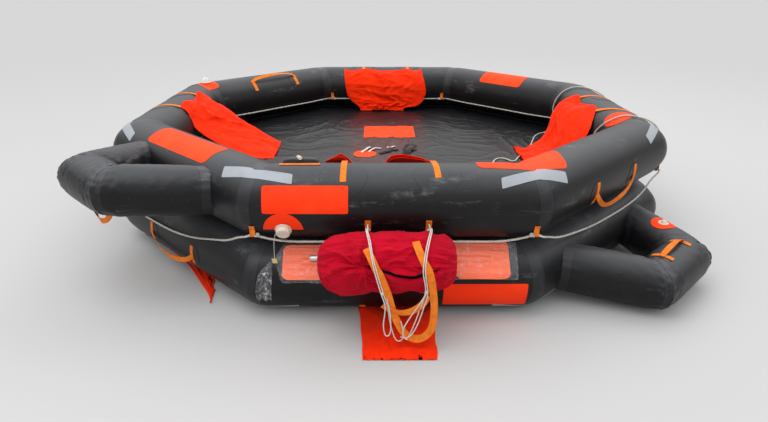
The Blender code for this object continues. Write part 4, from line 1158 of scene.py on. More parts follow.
def addHandles():
    # each row gives its sides, the angles of its ends, where the strap starts and sags, and its rise
    upper, lower = ring["upperZ"], ring["lowerZ"]
    ringHandle("outerHandleRightFront", "outer_handle_right_front", rightFront, upper,
               (-0.190, 0.190), (9, -28), -12, -38, 0.032)
    ringHandle("outerHandleLeftFront", "outer_handle_left_front", leftFront, lower,
               (-0.252, 0.150), (13, -19), -6, -24, 0.030)
    ringHandle("innerHandleLeftBack", "inner_handle_left_back", leftBack, upper,
               (-0.20, 0.17), (119, 151), 124, 119, 0.030, 0.40)
    ringHandle("innerHandleRightBack", "inner_handle_right_back", rightBack, lower,
               (-0.17, 0.20), (241, 209), 236, 226, 0.026, 0.40)
    rampHandle("lowerRampHandle", "lower_ramp_handle", rampShapes["lower"],
               (-0.105, 0.100), (117, 72), 94, 92, 0.022)
    rampHandle("upperRampHandle", "upper_ramp_handle", rampShapes["upper"],
               (-0.080, 0.080), (-106, -68), -88, -84, 0.054)


addHandles()
print("handles glued")


# cloth

def threaded(marks, rows, v):
    i = 0
    while i < len(marks) - 2 and marks[i + 1] < v:
        i += 1
    near = [rows[max(min(j, len(rows) - 1), 0)] for j in (i - 1, i, i + 1, i + 2)]
    return curved(*near, (v - marks[i]) / (marks[i + 1] - marks[i]))


def simulated(piece, weights, frames, settings, cap, keep):
    before = [v.co.copy() for v in piece.data.vertices]
    group = piece.vertex_groups.new(name="pinned")
    for i, w in enumerate(weights):
        if w > 0:
            group.add([i], w, "REPLACE")
    step = piece.modifiers.new("cloth", "CLOTH")
    step.point_cache.frame_start, step.point_cache.frame_end = 1, frames
    for key, value in settings.items():
        setattr(step.settings, key, value)
    step.settings.vertex_group_mass = "pinned"
    step.settings.effector_weights.gravity = 0
    step.collision_settings.use_collision = False
    scene = bpy.context.scene
    for number in range(1, frames + 1):
        scene.frame_set(number)
    applyAll(piece)
    scene.frame_set(1)
    piece.vertex_groups.clear()
    for v, old in zip(piece.data.vertices, before):
        move = v.co - old
        if move.length > cap:
            v.co = old + move * (cap / move.length)
        v.co = keep(v.co)
    piece.data.update()


clothFeel = {"quality": 5, "mass": 0.25, "tension_stiffness": 18, "compression_stiffness": 18,
             "shear_stiffness": 6, "bending_stiffness": 0.35, "air_damping": 2.0, "shrink_min": -0.045}


clothGap = 0.0022                                 # between a hung pocket and what it lies against


def clearOfRaft(p):                               # keeps cloth off the upper tube and the floor
    turn = segmentTurn(p)
    out, high = outFrom(p, turn), p.z - ring["upperZ"]
    far, least = hypot(out, high), ring["tube"] + clothGap
    if far < least:
        grow = least / max(far, 1e-6)
        p = p + Vector((out * cos(turn), out * sin(turn), high)) * (grow - 1)
    if out < -ring["tube"] - 0.004 or p.z < ring["floorTop"] + 0.03:
        low = ring["floorTop"] + clothGap + max(0.0, floorRise(p.x - ring["x"], p.y - ring["y"]))
        p = Vector((p.x, p.y, max(p.z, low)))
    return p


def clearOfGround(p):                             # keeps cloth between the ground and the lower tube
    out, roof = outFrom(p, segmentTurn(p)), 0.05
    if abs(out) < ring["tube"]:
        roof = ring["lowerZ"] - sqrt(ring["tube"] ** 2 - out * out) - 0.0008
    return Vector((p.x, p.y, min(max(p.z, 0.0008), max(roof, 0.0012))))


clothKinds = {
    "hung": {"across": 92, "along": 66, "fold": 0.019, "folds": 3.2, "lean": 0.0, "mouth": 0.06,
             "held": (0.1, 0.9), "frames": 8, "cap": 0.005, "keep": clearOfRaft,
             "rests": ["upper_buoyancy_tube", "raft_floor"]},
    "laid": {"across": 76, "along": 56, "fold": 0.006, "folds": 3.0, "lean": 0.0, "mouth": 0.0,
             "held": (0.1, 0.9), "frames": 4, "cap": 0.001, "keep": clearOfGround, "rests": ["ground"]}}


def clothBag(name, node, way, stations, settings):
    # a flat bag of two layers; stations are (left end, right end, normal, swell of the near layer)
    cloth = {**clothKinds[way], **settings}
    middles = [(a + b) / 2 for a, b, n, s in stations]
    marks = [0.0]
    for p, q in zip(middles, middles[1:]):
        marks.append(marks[-1] + (q - p).length)
    length = marks[-1]
    marks = [m / length for m in marks]
    columns = [[row[n] for row in stations] for n in range(4)]
    seed, rim = cloth["seed"], cloth.get("rim")

    def bagSpot(u, v):
        near = u < 0.5
        s = u * 2 if near else 2 - u * 2
        arch = sin(pi * s) ** 0.6 if 0 < s < 1 else 0.0
        w = mixed(cloth["mouth"] * arch, 1, v) if near else v
        lefts, rights, normal, swell = (threaded(marks, column, w) for column in columns)
        p = lefts.lerp(rights, s)
        warp = 0.26 * noise.noise(Vector((w * 2.4, s * 1.2, seed)))
        warp += 0.08 * noise.noise(Vector((w * 6, s * 3, seed)))
        run = (s + cloth["lean"] * w + warp) * cloth["folds"]
        long = ridged(run * 1.9 + seed, w * 0.9, seed) ** 2
        wide = ridged(run * 4.4, w * 2.6, seed + 4) ** 2
        cross = ridged(s * 2.6, (w + 0.35 * s + warp) * 6.5, seed + 7) ** 3
        wave = (long + wide * 0.45 + cross * 0.5 - 0.4) * cloth["fold"] * eased(v * 7) * arch
        up = 0.0016 + (swell * arch + max(wave, -swell * arch) if near else 0.3 * max(wave, 0))
        if rim:
            p = p + Vector((0, 0, threaded(*zip(*rim), s) * exp(-(v / 0.09) ** 2)))
        sway = (rights - lefts).normalized() * noise.noise(Vector((v * 5, s, seed))) * 0.008
        return p + normal.normalized() * up + sway * v

    piece = gridSheet(name, cloth["across"], cloth["along"], bagSpot)
    first, last = stations[0], stations[-1]
    measured(piece, 2 * (first[1] - first[0]).length, length)
    weld(piece, 0.0012)
    top = [mixed(first[0], first[1], s) for s in cloth["held"]]
    weights = []
    for v in piece.data.vertices:
        near = min((v.co - p).length for p in top)
        low = min((v.co - p).length for p in last[:2])
        weights.append(1.0 if near < 0.030 or low < 0.02 else 0.0)
    simulated(piece, weights, cloth["frames"], clothFeel, cloth["cap"], cloth["keep"])
    thicken(piece, 0.0012, offset=0)
    settle(piece, pocketCloth, 60, (node,))
    mean = sum((b - a).length for a, b, n, swell in stations) / len(stations)
    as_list(cloth["rests"])


def upperPocket(name, node, lean, rows, settings):  # rows: two ends from the ring's middle, then up and swell
    stations = []
    for first, last, up, swell in rows:
        ends = [fromMiddle(x, y, ring["upperZ"] + z) for x, y, z in (first, last)]
        stations.append((*ends, (Vector(lean) * (1 - up) + Vector((0, 0, up))).normalized(), swell))
    clothBag(name, node, "hung", stations, settings)


def addUpperPockets():
    upperPocket("upperPocketBack", "upper_pocket_back", (0, -1, 0),
                (((0.272, 1.240, 0.142), (-0.341, 1.240, 0.146), 0.6, 0.010),
                 ((0.280, 1.180, 0.105), (-0.338, 1.180, 0.105), 0.4, 0.020),
                 ((0.295, 1.148, 0.055), (-0.330, 1.148, 0.055), 0.15, 0.030),
                 ((0.305, 1.140, 0.000), (-0.320, 1.140, 0.000), 0.1, 0.036),
                 ((0.298, 1.135, -0.050), (-0.308, 1.135, -0.050), 0.1, 0.034),
                 ((0.275, 1.125, -0.090), (-0.278, 1.125, -0.088), 0.1, 0.026),
                 ((0.225, 1.112, -0.120), (-0.235, 1.112, -0.114), 0.2, 0.012),
                 ((0.150, 1.102, -0.132), (-0.218, 1.102, -0.130), 0.3, 0.010),
                 ((0.130, 1.090, -0.157), (-0.212, 1.090, -0.157), 0.5, 0.001)),
                {"seed": 2.3, "lean": -0.35, "folds": 2.6, "held": (0.18, 0.76),
                 "rim": ((0.0, 0.004), (0.05, -0.012), (0.18, 0.006), (0.45, -0.004), (0.76, 0.004),
                         (0.93, -0.014), (1.0, 0.004))})
    upperPocket("upperPocketFront", "upper_pocket_front", (0, 1, 0),
                (((-0.286, -1.232, 0.138), (0.190, -1.232, 0.136), 0.8, 0.020),
                 ((-0.280, -1.175, 0.085), (0.194, -1.175, 0.085), 0.4, 0.030),
                 ((-0.268, -1.150, 0.000), (0.200, -1.150, 0.000), 0.1, 0.034),
                 ((-0.262, -1.130, -0.090), (0.208, -1.130, -0.090), 0.2, 0.030),
                 ((-0.262, -1.080, -0.148), (0.215, -1.080, -0.148), 0.6, 0.022),
                 ((-0.262, -0.970, -0.159), (0.224, -0.970, -0.159), 1.0, 0.016),
                 ((-0.265, -0.862, -0.159), (0.230, -0.862, -0.159), 1.0, 0.001)),
                {"seed": 5.1, "lean": 0.2, "held": (0.17, 0.94),
                 "rim": ((0.0, 0.0), (0.06, 0.012), (0.15, 0.022), (0.24, -0.020), (0.36, -0.058),
                         (0.48, -0.052), (0.56, 0.004), (0.66, 0.016), (0.85, 0.006), (1.0, -0.006))})
    upperPocket("upperPocketLeft", "upper_pocket_left", (1, 0, 0),
                (((-1.238, 0.262, 0.143), (-1.238, -0.150, 0.139), 0.75, 0.014),
                 ((-1.150, 0.222, 0.104), (-1.190, -0.160, 0.098), 0.65, 0.022),
                 ((-1.045, 0.204, 0.045), (-1.142, -0.182, 0.018), 0.6, 0.026),
                 ((-0.935, 0.200, -0.036), (-1.030, -0.200, -0.060), 0.6, 0.024),
                 ((-0.815, 0.198, -0.110), (-0.880, -0.215, -0.125), 0.7, 0.020),
                 ((-0.740, 0.186, -0.150), (-0.770, -0.225, -0.152), 0.9, 0.014),
                 ((-0.708, 0.168, -0.159), (-0.692, -0.221, -0.159), 1.0, 0.001)),
                {"seed": 8.7, "lean": 0.25, "held": (0.08, 0.92), "folds": 2.8,
                 "rim": ((0.0, 0.010), (0.12, 0.012), (0.30, -0.020), (0.45, -0.030), (0.62, -0.004),
                         (0.80, 0.012), (1.0, 0.0))})
    upperPocket("upperPocketRight", "upper_pocket_right", (-1, 0, 0),
                (((1.222, -0.158, 0.134), (1.222, 0.209, 0.134), 0.7, 0.012),
                 ((1.178, -0.235, 0.090), (1.134, 0.215, 0.100), 0.6, 0.020),
                 ((1.146, -0.292, 0.044), (1.088, 0.195, 0.062), 0.4, 0.026),
                 ((1.100, -0.325, -0.030), (1.052, 0.160, 0.000), 0.4, 0.028),
                 ((1.050, -0.345, -0.090), (1.022, 0.140, -0.070), 0.45, 0.026),
                 ((0.985, -0.365, -0.138), (0.978, 0.115, -0.130), 0.7, 0.022),
                 ((0.905, -0.385, -0.156), (0.915, 0.075, -0.152), 0.9, 0.020),
                 ((0.850, -0.400, -0.159), (0.846, -0.010, -0.152), 1.0, 0.018),
                 ((0.795, -0.410, -0.159), (0.790, 0.050, -0.159), 1.0, 0.001)),
                {"seed": 11.9, "lean": -0.25, "held": (0.1, 0.92), "folds": 2.8,
                 "rim": ((0.0, 0.004), (0.25, 0.008), (0.50, -0.026), (0.70, -0.030), (0.88, 0.008),
                         (1.0, 0.012))})
    straps = []
    for k, last, rows in ((front, 116, ((-0.205, 48, -0.205), (0.172, 55, 0.160))),
                          (back, 114, ((-0.165, 70, -0.165), (0.190, 70, 0.190))),
                          (left, 120, ((-0.190, 58, -0.200), (0.186, 58, 0.155))),
                          (right, 128, ((-0.340, 62, -0.180), (0.060, 62, 0.185)))):
        for side, end, top in rows:
            stations = [(mixed(side, top, t), mixed(end, last, t), 0.0013 + 0.008 * eased((t - 0.7) * 3))
                        for t in (0, 0.2, 0.4, 0.6, 0.8, 1.0)]
            straps.append(band("strap", k, ring["upperZ"], stations))
    settle(joined("upperPocketStraps", straps), orangeWeb)


addUpperPockets()
print("upper pockets hung")


laidLift = 0.0012                                 # how far a laid pocket's back lies off the ground


def groundBag(name, node, k, seed, rows, **settings):     # rows: how far out, two sides, swell
    stations = [(at(k, out, a, laidLift), at(k, out, b, laidLift), upward, swell)
                for out, a, b, swell in rows]
    clothBag(name, node, "laid", stations, {"seed": seed, **settings})


def addLowerPockets():
    reach, inner = ring["apothem"], ring["apothem"] - ring["tube"]
    groundBag("lowerPocketFront", "lower_pocket_front", front, 3.3,
              ((reach - 0.05, -0.155, 0.190, 0.0008), (reach + 0.06, -0.152, 0.188, 0.0012),
               (reach + 0.10, -0.147, 0.183, 0.008), (reach + 0.20, -0.137, 0.173, 0.016),
               (1.66, -0.128, 0.163, 0.013), (1.700, -0.124, 0.160, 0.008), (1.741, -0.122, 0.158, 0.001)),
              fold=0.011, folds=2.2)
    for name, node, k, seed in (("lowerPocketBack", "lower_pocket_back", back, 6.1),
                                ("lowerPocketRight", "lower_pocket_right", right, 9.4)):
        groundBag(name, node, k, seed,
                  ((reach + 0.06, -0.28, 0.28, 0.0008), (reach - 0.04, -0.262, 0.262, 0.0012),
                   (inner - 0.02, -0.245, 0.245, 0.020), (inner - 0.14, -0.23, 0.23, 0.024),
                   (inner - 0.28, -0.215, 0.215, 0.022), (inner - 0.398, -0.20, 0.20, 0.001)))

    outerEdge = ((-1.370, -0.120), (-1.370, -0.520), (-1.054, -0.916), (-0.824, -1.300), (-0.820, -1.317))
    innerEdge = ((-1.010, -0.300), (-0.930, -0.700), (-0.846, -1.115), (-0.826, -1.229), (-0.818, -1.316))
    stations = [(fromMiddle(*a, laidLift), fromMiddle(*b, laidLift), upward, 0.0012)
                for a, b in zip(outerEdge, innerEdge)]
    clothBag("lowerPocketLeft", "lower_pocket_left", "laid", stations,
             {"across": 60, "along": 70, "seed": 4.4, "fold": 0.005, "folds": 2.5, "lean": 0.1,
              "frames": 8, "cap": 0.006})
    straps = []
    for k, sides in ((front, (-0.135, 0.170)), (back, (-0.175, 0.175)), (right, (-0.175, 0.175)),
                     (left, (0.17, 0.47))):
        for s in sides:
            points = [onTube(k, s, a, ring["lowerZ"], 0.0012) for a in (-44, -50, -57, -64, -71)]
            points += [at(k, reach + 0.046, s, 0.0050), at(k, reach + 0.020, s, 0.0018)]
            points = smoothPath(points, 26)
            straps.append(strip("strap", points, [tubeNormal(p, ring["lowerZ"]) for p in points], webWidth))
    settle(joined("lowerPocketStraps", straps), orangeWeb)


addLowerPockets()
print("lower pockets laid")


# equipment bag

def bagValues():
    low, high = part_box("emergency_bag")
    return {"low": low[0] + 0.022, "length": high[0] - low[0] - 0.014, "y": (low[1] + high[1]) / 2,
            "z": (low[2] + high[2]) / 2, "radius": 0.118,
            "profile": ((0.0, 0.0), (0.004, 0.30), (0.014, 0.52), (0.035, 0.74), (0.065, 0.89), (0.11, 0.98),
                        (0.20, 1.0), (0.36, 1.0), (0.44, 0.97), (0.495, 0.86), (0.525, 0.66), (0.543, 0.40),
                        (0.549, 0.22), (0.55, 0.0)),
            "zip": ((0.150, 20), (0.170, 18), (0.235, 11), (0.30, 1), (0.357, -6), (0.42, 1), (0.475, 12),
                    (0.50, 15)),
            "gather": (0.176, 17), "cords": ((0.218, 0.258), (0.460, 0.422))}


bag = bagValues()


def bagRadius(x):
    return bag["radius"] * readOff(bag["profile"], x)


def zipSide(x, angle):                            # degrees past the zip's line, either way round
    return (angle - readOff(bag["zip"], x) + 180) % 360 - 180


def aroundBag(x, angle, lift):                    # x from the ring's middle, as the lashings are given
    r = bag["radius"] / cos(pi / 20) + lift
    return Vector((ring["x"] + x, bag["y"] - r * cos(radians(angle)), bag["z"] + r * sin(radians(angle))))


def gathered(x, angle, r):                        # pleats that run out from the bag's tight cord
    gatherX, gatherAngle = bag["gather"]
    dx, da = x - gatherX, r * radians((angle - gatherAngle + 180) % 360 - 180)
    far, phi = hypot(dx, da), atan2(da, dx)
    phi += 0.5 * noise.noise(Vector((far * 11, cos(phi), sin(phi))))
    pleat = ridged(cos(phi) * 2.1 + 4, sin(phi) * 2.1, far * 3) ** 1.6
    thin = ridged(cos(phi) * 4.6 + 1, sin(phi) * 4.6, far * 7) ** 1.6
    reach = exp(-(far / 0.125) ** 2) * (1 - exp(-(far / 0.022) ** 2))
    return -0.016 * exp(-(far / 0.020) ** 2) + reach * (0.026 * (pleat - 0.5) + 0.007 * (thin - 0.4)), reach


def slack(x, a, r):                               # folds of the cloth elsewhere
    warp = 1.6 * noise.noise(Vector((x * 5, cos(a) * 1.1, sin(a) * 1.1)))
    broad = ridged(x * 8 + warp + 0.8 * sin(a), cos(a) * 1.3 + 2, sin(a) * 1.3) ** 2
    fine = ridged(x * 17 + 2 * warp, cos(a) * 3.4, sin(a) * 3.4 + 3) ** 2
    long = ridged(x * 4 + 5, cos(a) * 4.1 + warp * 0.4, sin(a) * 4.1) ** 2
    return (0.011 * (broad - 0.45) + 0.004 * (fine - 0.4) + 0.006 * (long - 0.4)) * min(1, r / 0.09)


def addBag():
    def bagSpot(u, v):
        x = bag["length"] * (0.5 - 0.5 * cos(pi * (0.06 + 0.88 * v)) - 0.00886) / 0.98228
        x = min(max(x, 0.0), bag["length"])
        t = ((u + 0.5) % 1) * 2 - 1
        angle = 180 * (t - 0.19 * sin(pi * t))                    # more columns at the zip
        r, a = bagRadius(x), radians(angle)
        lift, reach = gathered(x, angle, r)
        lift += slack(x, a, r) * (1 - 0.6 * reach) - 0.002
        zipOff = r * radians(zipSide(x, angle))
        inZip = eased((x - 0.180) / 0.03) * eased((0.475 - x) / 0.03)
        trench = 0.017 * exp(-(zipOff / 0.0095) ** 2)
        banks = 0.006 * exp(-((abs(zipOff) - 0.018) / 0.008) ** 2)
        lift -= (trench - banks) * inZip
        onFront = eased((angle + 40) / 30) * eased((165 - angle) / 30)
        for start, end in bag["cords"]:                           # the lashings press into the cloth
            cordX = mixed(end, start, min(max(angle / 112, 0), 1))
            lift = mixed(lift, -0.006, 0.8 * exp(-((x - cordX) / 0.020) ** 2) * onFront)
        lift = min(lift, 0.010)
        endFold = exp(-(min(x, bag["length"] - x) / 0.034) ** 2)
        lift += 0.007 * cos(13 * a + 2 * sin(3 * a)) * endFold * min(1, r / 0.05)
        r = max(r + lift * (1 if r > 0.01 else 0), 0.0004)
        z = bag["z"] + r * sin(a)
        if sin(a) < 0:                                            # the left end sags lower
            lobe = 0.018 * exp(-((x - 0.095) / 0.080) ** 2) - 0.012 * exp(-((x - 0.215) / 0.03) ** 2)
            z += sin(a) * lobe
        return Vector((bag["low"] + x, bag["y"] - r * cos(a), z))

    piece = gridSheet("emergencyBag", 176, 150, bagSpot)
    measured(piece, 2 * pi * bag["radius"], bag["length"] * 1.2)
    weld(piece, 0.0006)
    # the zip's open slit, which bagCloth paints near-black as painted shade of the bag's inside
    slits = []
    for v in piece.data.vertices:
        x = v.co.x - bag["low"]
        angle = degrees(atan2(v.co.z - bag["z"], bag["y"] - v.co.y))
        off = max(bagRadius(x), 0.001) * radians(zipSide(x, angle))
        gape = 0.0078 * sin(pi * min(max((x - 0.200) / 0.265, 0), 1)) ** 0.7
        slits.append(abs(off) - gape if 0.18 < x < 0.47 else 0.05)
    markPoints(piece, "slit", slits)
    settle(piece, bagCloth, 60, ("emergency_bag",))


addBag()
print("bag filled")


tabLeft, tabRight = -0.107, 0.135                 # the sides where the lashing's two tabs are glued


def addLashingTabs():
    rows = ((-11, 0.0012), (-20, 0.0014), (-25, 0.004), (-29, 0.008), (-31, 0.003), (-28, 0.0016))
    for name, node, side in (("leftLashingTab", "lashing_tab_left", tabLeft),
                             ("rightLashingTab", "lashing_tab_right", tabRight)):
        tab = band(name, front, ring["upperZ"], [(side, a, up) for a, up in rows], 0.024)
        settle(tab, orangeWeb, nodes=(node,))


def addWebbing():
    lift = 0.0050
    face = bag["y"] - bag["radius"] / cos(pi / 20) - lift
    hanging = ((-0.030, 0.255), (-0.005, 0.165), (0.035, 0.085), (0.09, 0.060), (0.135, 0.100),
               (0.145, 0.180), (0.140, 0.255))
    route = [aroundBag(-0.110 + 0.013 * i, a, lift) for i, a in enumerate((50, 38, 25, 12, 2))]
    route += [Vector((ring["x"] + x, face, z)) for x, z in hanging]
    goingUp = ((0.125, 5), (0.104, 25), (0.088, 42), (0.078, 56), (0.074, 64))
    route += [aroundBag(x, a, lift) for x, a in goingUp]
    count = 120
    points = smoothPath(route, count)
    ups = []
    for i, p in enumerate(points):
        up = Vector((0, -1, 0))
        if p.z > bag["z"]:
            up = Vector((0, p.y - bag["y"], p.z - bag["z"])).normalized()
        lean = radians(38) * sin(i / (count - 1) * 3 * pi + 0.4) * eased((bag["z"] - 0.07 - p.z) / 0.08)
        ups.append(Matrix.Rotation(lean, 3, aheadAt(points, i)) @ up)
    webs = [strip("webbing", points, ups, 0.029)]
    low = ((-0.048, 0.213), (-0.020, 0.190), (0.020, 0.178), (0.062, 0.186), (0.100, 0.215), (0.120, 0.250))
    low = smoothPath([Vector((ring["x"] + x, face - 0.003, z)) for x, z in low], 40)
    ups = [Matrix.Rotation(radians(20 * sin(i / 6)), 3, (1, 0, 0)) @ Vector((0, -1, 0)) for i in range(40)]
    webs.append(strip("webbing", low, ups, 0.026))
    settle(joined("bagWebbing", webs), orangeWeb, nodes=("bag_webbing",))


def addLashings():
    upper = ring["upperZ"]
    over = 0.0058 + lashRadius                    # above the webbing
    near = bag["y"] - bag["radius"] / cos(pi / 20) - over
    against = 0.0029 + lashRadius                 # above a tab

    def fromTab(x):
        return [onTube(front, x, -27, upper, against), onTube(front, x, -22, upper, against + 0.002),
                onTube(front, x, -14, upper, 0.016)]

    def down(xs, extra=0.0):
        return [aroundBag(x, a, over + extra) for x, a in zip(xs, (112, 90, 62, 34, 8))]

    def hang(rows, extra=0.0):
        return [Vector((ring["x"] + x, near - extra, z)) for x, z in rows]

    cords = (
        ("leftLashing", ("lashing_cord_left",),
         fromTab(tabLeft) + down((tabLeft, -0.106, -0.095, -0.085, -0.070))
         + hang(((-0.050, 0.270), (-0.030, 0.200), (-0.020, 0.130), (0.000, 0.062), (0.022, 0.055),
                 (0.030, 0.090), (0.020, 0.140)))),
        ("rightLashing", ("lashing_cord_right",),
         fromTab(tabRight) + down((tabRight, 0.132, 0.118, 0.105, 0.100))
         + hang(((0.110, 0.270), (0.090, 0.190), (0.065, 0.110), (0.045, 0.060)))),
        ("leftLashingSecond", (), down((-0.113, -0.111, -0.101, -0.090, -0.078), 0.001)
         + hang(((-0.058, 0.272), (-0.040, 0.205), (-0.046, 0.130), (-0.040, 0.085), (-0.026, 0.080),
                 (-0.018, 0.110), (-0.022, 0.180), (-0.034, 0.240)), 0.004)),
        ("rightLashingSecond", (), down((0.141, 0.138, 0.125, 0.112, 0.108), 0.001)
         + hang(((0.118, 0.262), (0.104, 0.200), (0.084, 0.130), (0.062, 0.085), (0.040, 0.068),
                 (0.020, 0.074)), 0.004)),
        ("rightLashingThird", (), hang(((0.112, 0.262), (0.080, 0.205), (0.048, 0.150), (0.030, 0.110),
                                        (0.030, 0.078), (0.046, 0.062)), 0.007)))
    for name, nodes, route in cords:
        looseCord(name, nodes, route, lashingCord, lashRadius, "bare", "hanging", 9, 0.003, 0.014)
    knots = [knot(onTube(front, tabLeft, -26, upper, 0.010), (1, 0, 0.4), lashRadius, 3.2, 2.2),
             knot(onTube(front, tabRight, -26, upper, 0.010), (1, 0, -0.3), lashRadius, 3.2, 2.2),
             knot(hang(((0.112, 0.268),), 0.003)[0], (0.4, 0, 1), lashRadius, 3.4, 2.4),
             knot(hang(((-0.052, 0.262),), 0.003)[0], (-0.4, 0, 1), lashRadius, 2.6, 2.0)]
    settle(joined("lashingKnots", knots), lashingCord)


addLashingTabs()
addWebbing()


addLashings()
print("bag lashed")


# paddles in their clear sleeves

def paddleSpot(x, slide, lift):
    a = radians(45)
    out = ring["apothem"] + (ring["tube"] + lift) * cos(a) + slide * sin(a)
    return at(front, out, x, ring["lowerZ"] + (ring["tube"] + lift) * sin(a) - slide * cos(a))


paddles = (
    {"name": "left", "tip": -0.458, "root": -0.230, "end": 0.205, "slide": 0.017, "half": 0.075,
     "lifts": (0.0003, 0.0003), "sleeve": (-0.492, -0.245), "film": (0.20, 0.31), "seed": 2.0,
     "tied": 0.14, "full": 1.0},
    {"name": "right", "tip": 0.474, "root": 0.235, "end": -0.345, "slide": 0.006, "half": 0.083,
     "lifts": (0.0003, 0.0201), "sleeve": (0.503, 0.190), "film": (0.20, 0.36), "seed": 7.0,
     "tied": 0.98, "full": 0.98})
shaftRadius = 0.0125


def addPaddle(p):
    outline = ((0.0, 0.72), (0.03, 0.90), (0.09, 0.985), (0.16, 1.0), (0.88, 1.0), (0.95, 0.80), (1.0, 0.35))
    name = p["name"]

    def liftAt(x):
        return mixed(p["lifts"][0], p["lifts"][1], (x - p["tip"]) / (p["end"] - p["tip"]))

    def bladeSpot(u, v):
        x, s, half = mixed(p["tip"], p["root"], v), 2 * u - 1, p["half"] * readOff(outline, v)
        ribs = 0.0032 * max(0.0, cos(s * pi * 5.0)) ** 3 * eased(v / 0.12) * eased((0.86 - v) / 0.08)
        boss = 0.011 * exp(-(s * half / 0.0135) ** 4) * eased((v - 0.30) / 0.08)
        rim = 0.0022 * eased((abs(s) - 0.90) / 0.05)
        level = liftAt(x) + shaftRadius - 0.001 + max(ribs, boss, rim) + 0.002 * (1 - s * s)
        return paddleSpot(x, p["slide"] + half * s, level)

    def sleeveSpot(u, v):
        x, s = mixed(p["sleeve"][0], p["sleeve"][1], v), 2 * u - 1
        half = 0.086 * (1 + 0.05 * noise.noise(Vector((v * 6, p["seed"], 0))))
        half *= mixed(p["tied"], p["full"], eased(v / 0.16))
        crease = ridged(v * 5 + s * 2.2, s * 3.0 - v * 2, p["seed"])
        fine = ridged(v * 13 + s * 3, s * 8, p["seed"] + 3)
        down = eased((abs(s) - 0.80) / 0.2)
        level = liftAt(x) + shaftRadius + 0.0125 + 0.007 * crease + 0.003 * fine
        level -= down * (shaftRadius + 0.010)
        return paddleSpot(x, p["slide"] + half * s, max(level, 0.0015))

    blade = gridSheet(name + "Blade", 80, 60, bladeSpot)
    faceTowards(blade, 900, upward)
    thicken(blade, 0.0045, 0.0008)
    settle(blade, paddleOrange, 40, (name + "_paddle_blade",))
    start, end = (paddleSpot(x, p["slide"], liftAt(x) + shaftRadius / cos(pi / 12))
                  for x in (p["root"], p["end"]))
    length = (end - start).length
    profile = ((0, shaftRadius), (length - 0.004, shaftRadius), (length, shaftRadius - 0.003))
    shaft = turnedPiece(name + "Shaft", start, end - start, profile, 32)
    settle(shaft, metal, 40, (name + "_paddle_shaft",))
    sleeve = gridSheet(name + "Sleeve", 60, 80, sleeveSpot)
    measured(sleeve, 0.18, 0.3)
    thicken(sleeve, 0.0006, offset=0)
    settle(sleeve, filmSleeve, 60)


def addSleeveTail():
    rows = ((-0.488, 41, 0.016), (-0.506, 37, 0.016), (-0.522, 28, 0.013), (-0.532, 14, 0.011),
            (-0.538, -2, 0.009), (-0.541, -20, 0.008))            # (side, angle, lift)
    marks = [i / 5 for i in range(6)]

    def tailSpot(u, v):
        side, angle, lift = (threaded(marks, [row[n] for row in rows], v) for n in range(3))
        s = 2 * u - 1
        half = mixed(0.012, 0.032, eased(v * 1.4)) * (1 - 0.35 * exp(-((v - 0.28) / 0.10) ** 2))
        fold = 0.004 * sin(s * 9 + v * 6) + 0.004 * ridged(s * 3, v * 5, 2.0)
        ragged = 2.0 * sin(s * 7) if v > 0.95 else 0
        return onTube(front, side + half * s, angle - ragged, ring["lowerZ"], max(lift + fold, 0.001))

    tail = gridSheet("paddleSleeveTail", 40, 50, tailSpot)
    measured(tail, 0.06, 0.17)
    thicken(tail, 0.0006, offset=0)
    settle(tail, filmTail, 60, ("paddle_sleeve_tail",))


for paddle in paddles:
    addPaddle(paddle)
addSleeveTail()
print("paddles wrapped")


# valves, lights, cylinder, pouch and bits on the floor

def buttonAt(k, side, angle, ringZ):
    base = onTube(k, side, angle, ringZ, 0.0003)
    return base, tubeNormal(onTube(k, side, angle, ringZ, 0.01), ringZ)


profiles = {                                      # (distance along the axis, radius) of the turned pieces
    "flange": ((0, 0.034), (0.0035, 0.034), (0.005, 0.031), (0.0062, 0.029)),
    "cap": ((0, 0.0275), (0.002, 0.0283), (0.016, 0.0275), (0.019, 0.0262), (0.0205, 0.022),
            (0.0208, 0.018), (0.019, 0.0165)),
    "foot": ((0, 0.022), (0.002, 0.022), (0.0035, 0.017), (0.006, 0.014), (0.020, 0.014)),
    "nut": ((0, 0.0165), (0.001, 0.018), (0.011, 0.018), (0.0125, 0.016), (0.015, 0.010)),
    "lightFoot": ((0, 0.036), (0.004, 0.036), (0.006, 0.033), (0.0085, 0.030)),
    "dome": ((0, 0.0285), (0.008, 0.0275), (0.015, 0.0245), (0.021, 0.0195), (0.025, 0.0135),
             (0.0275, 0.006)),
    "bulb": ((0, 0.012), (0.006, 0.012), (0.008, 0.006), (0.016, 0.006), (0.019, 0.003)),
    "knob": ((0, 0.0135), (0.003, 0.0135), (0.005, 0.011), (0.009, 0.0105), (0.011, 0.008)),
    "neck": ((0, 0.019), (0.010, 0.019), (0.012, 0.016), (0.030, 0.016)),
    "headBody": ((0, 0.024), (0.002, 0.0275), (0.040, 0.0275), (0.043, 0.024)),
    "headCap": ((0, 0.020), (0.002, 0.021), (0.008, 0.021), (0.010, 0.017))}


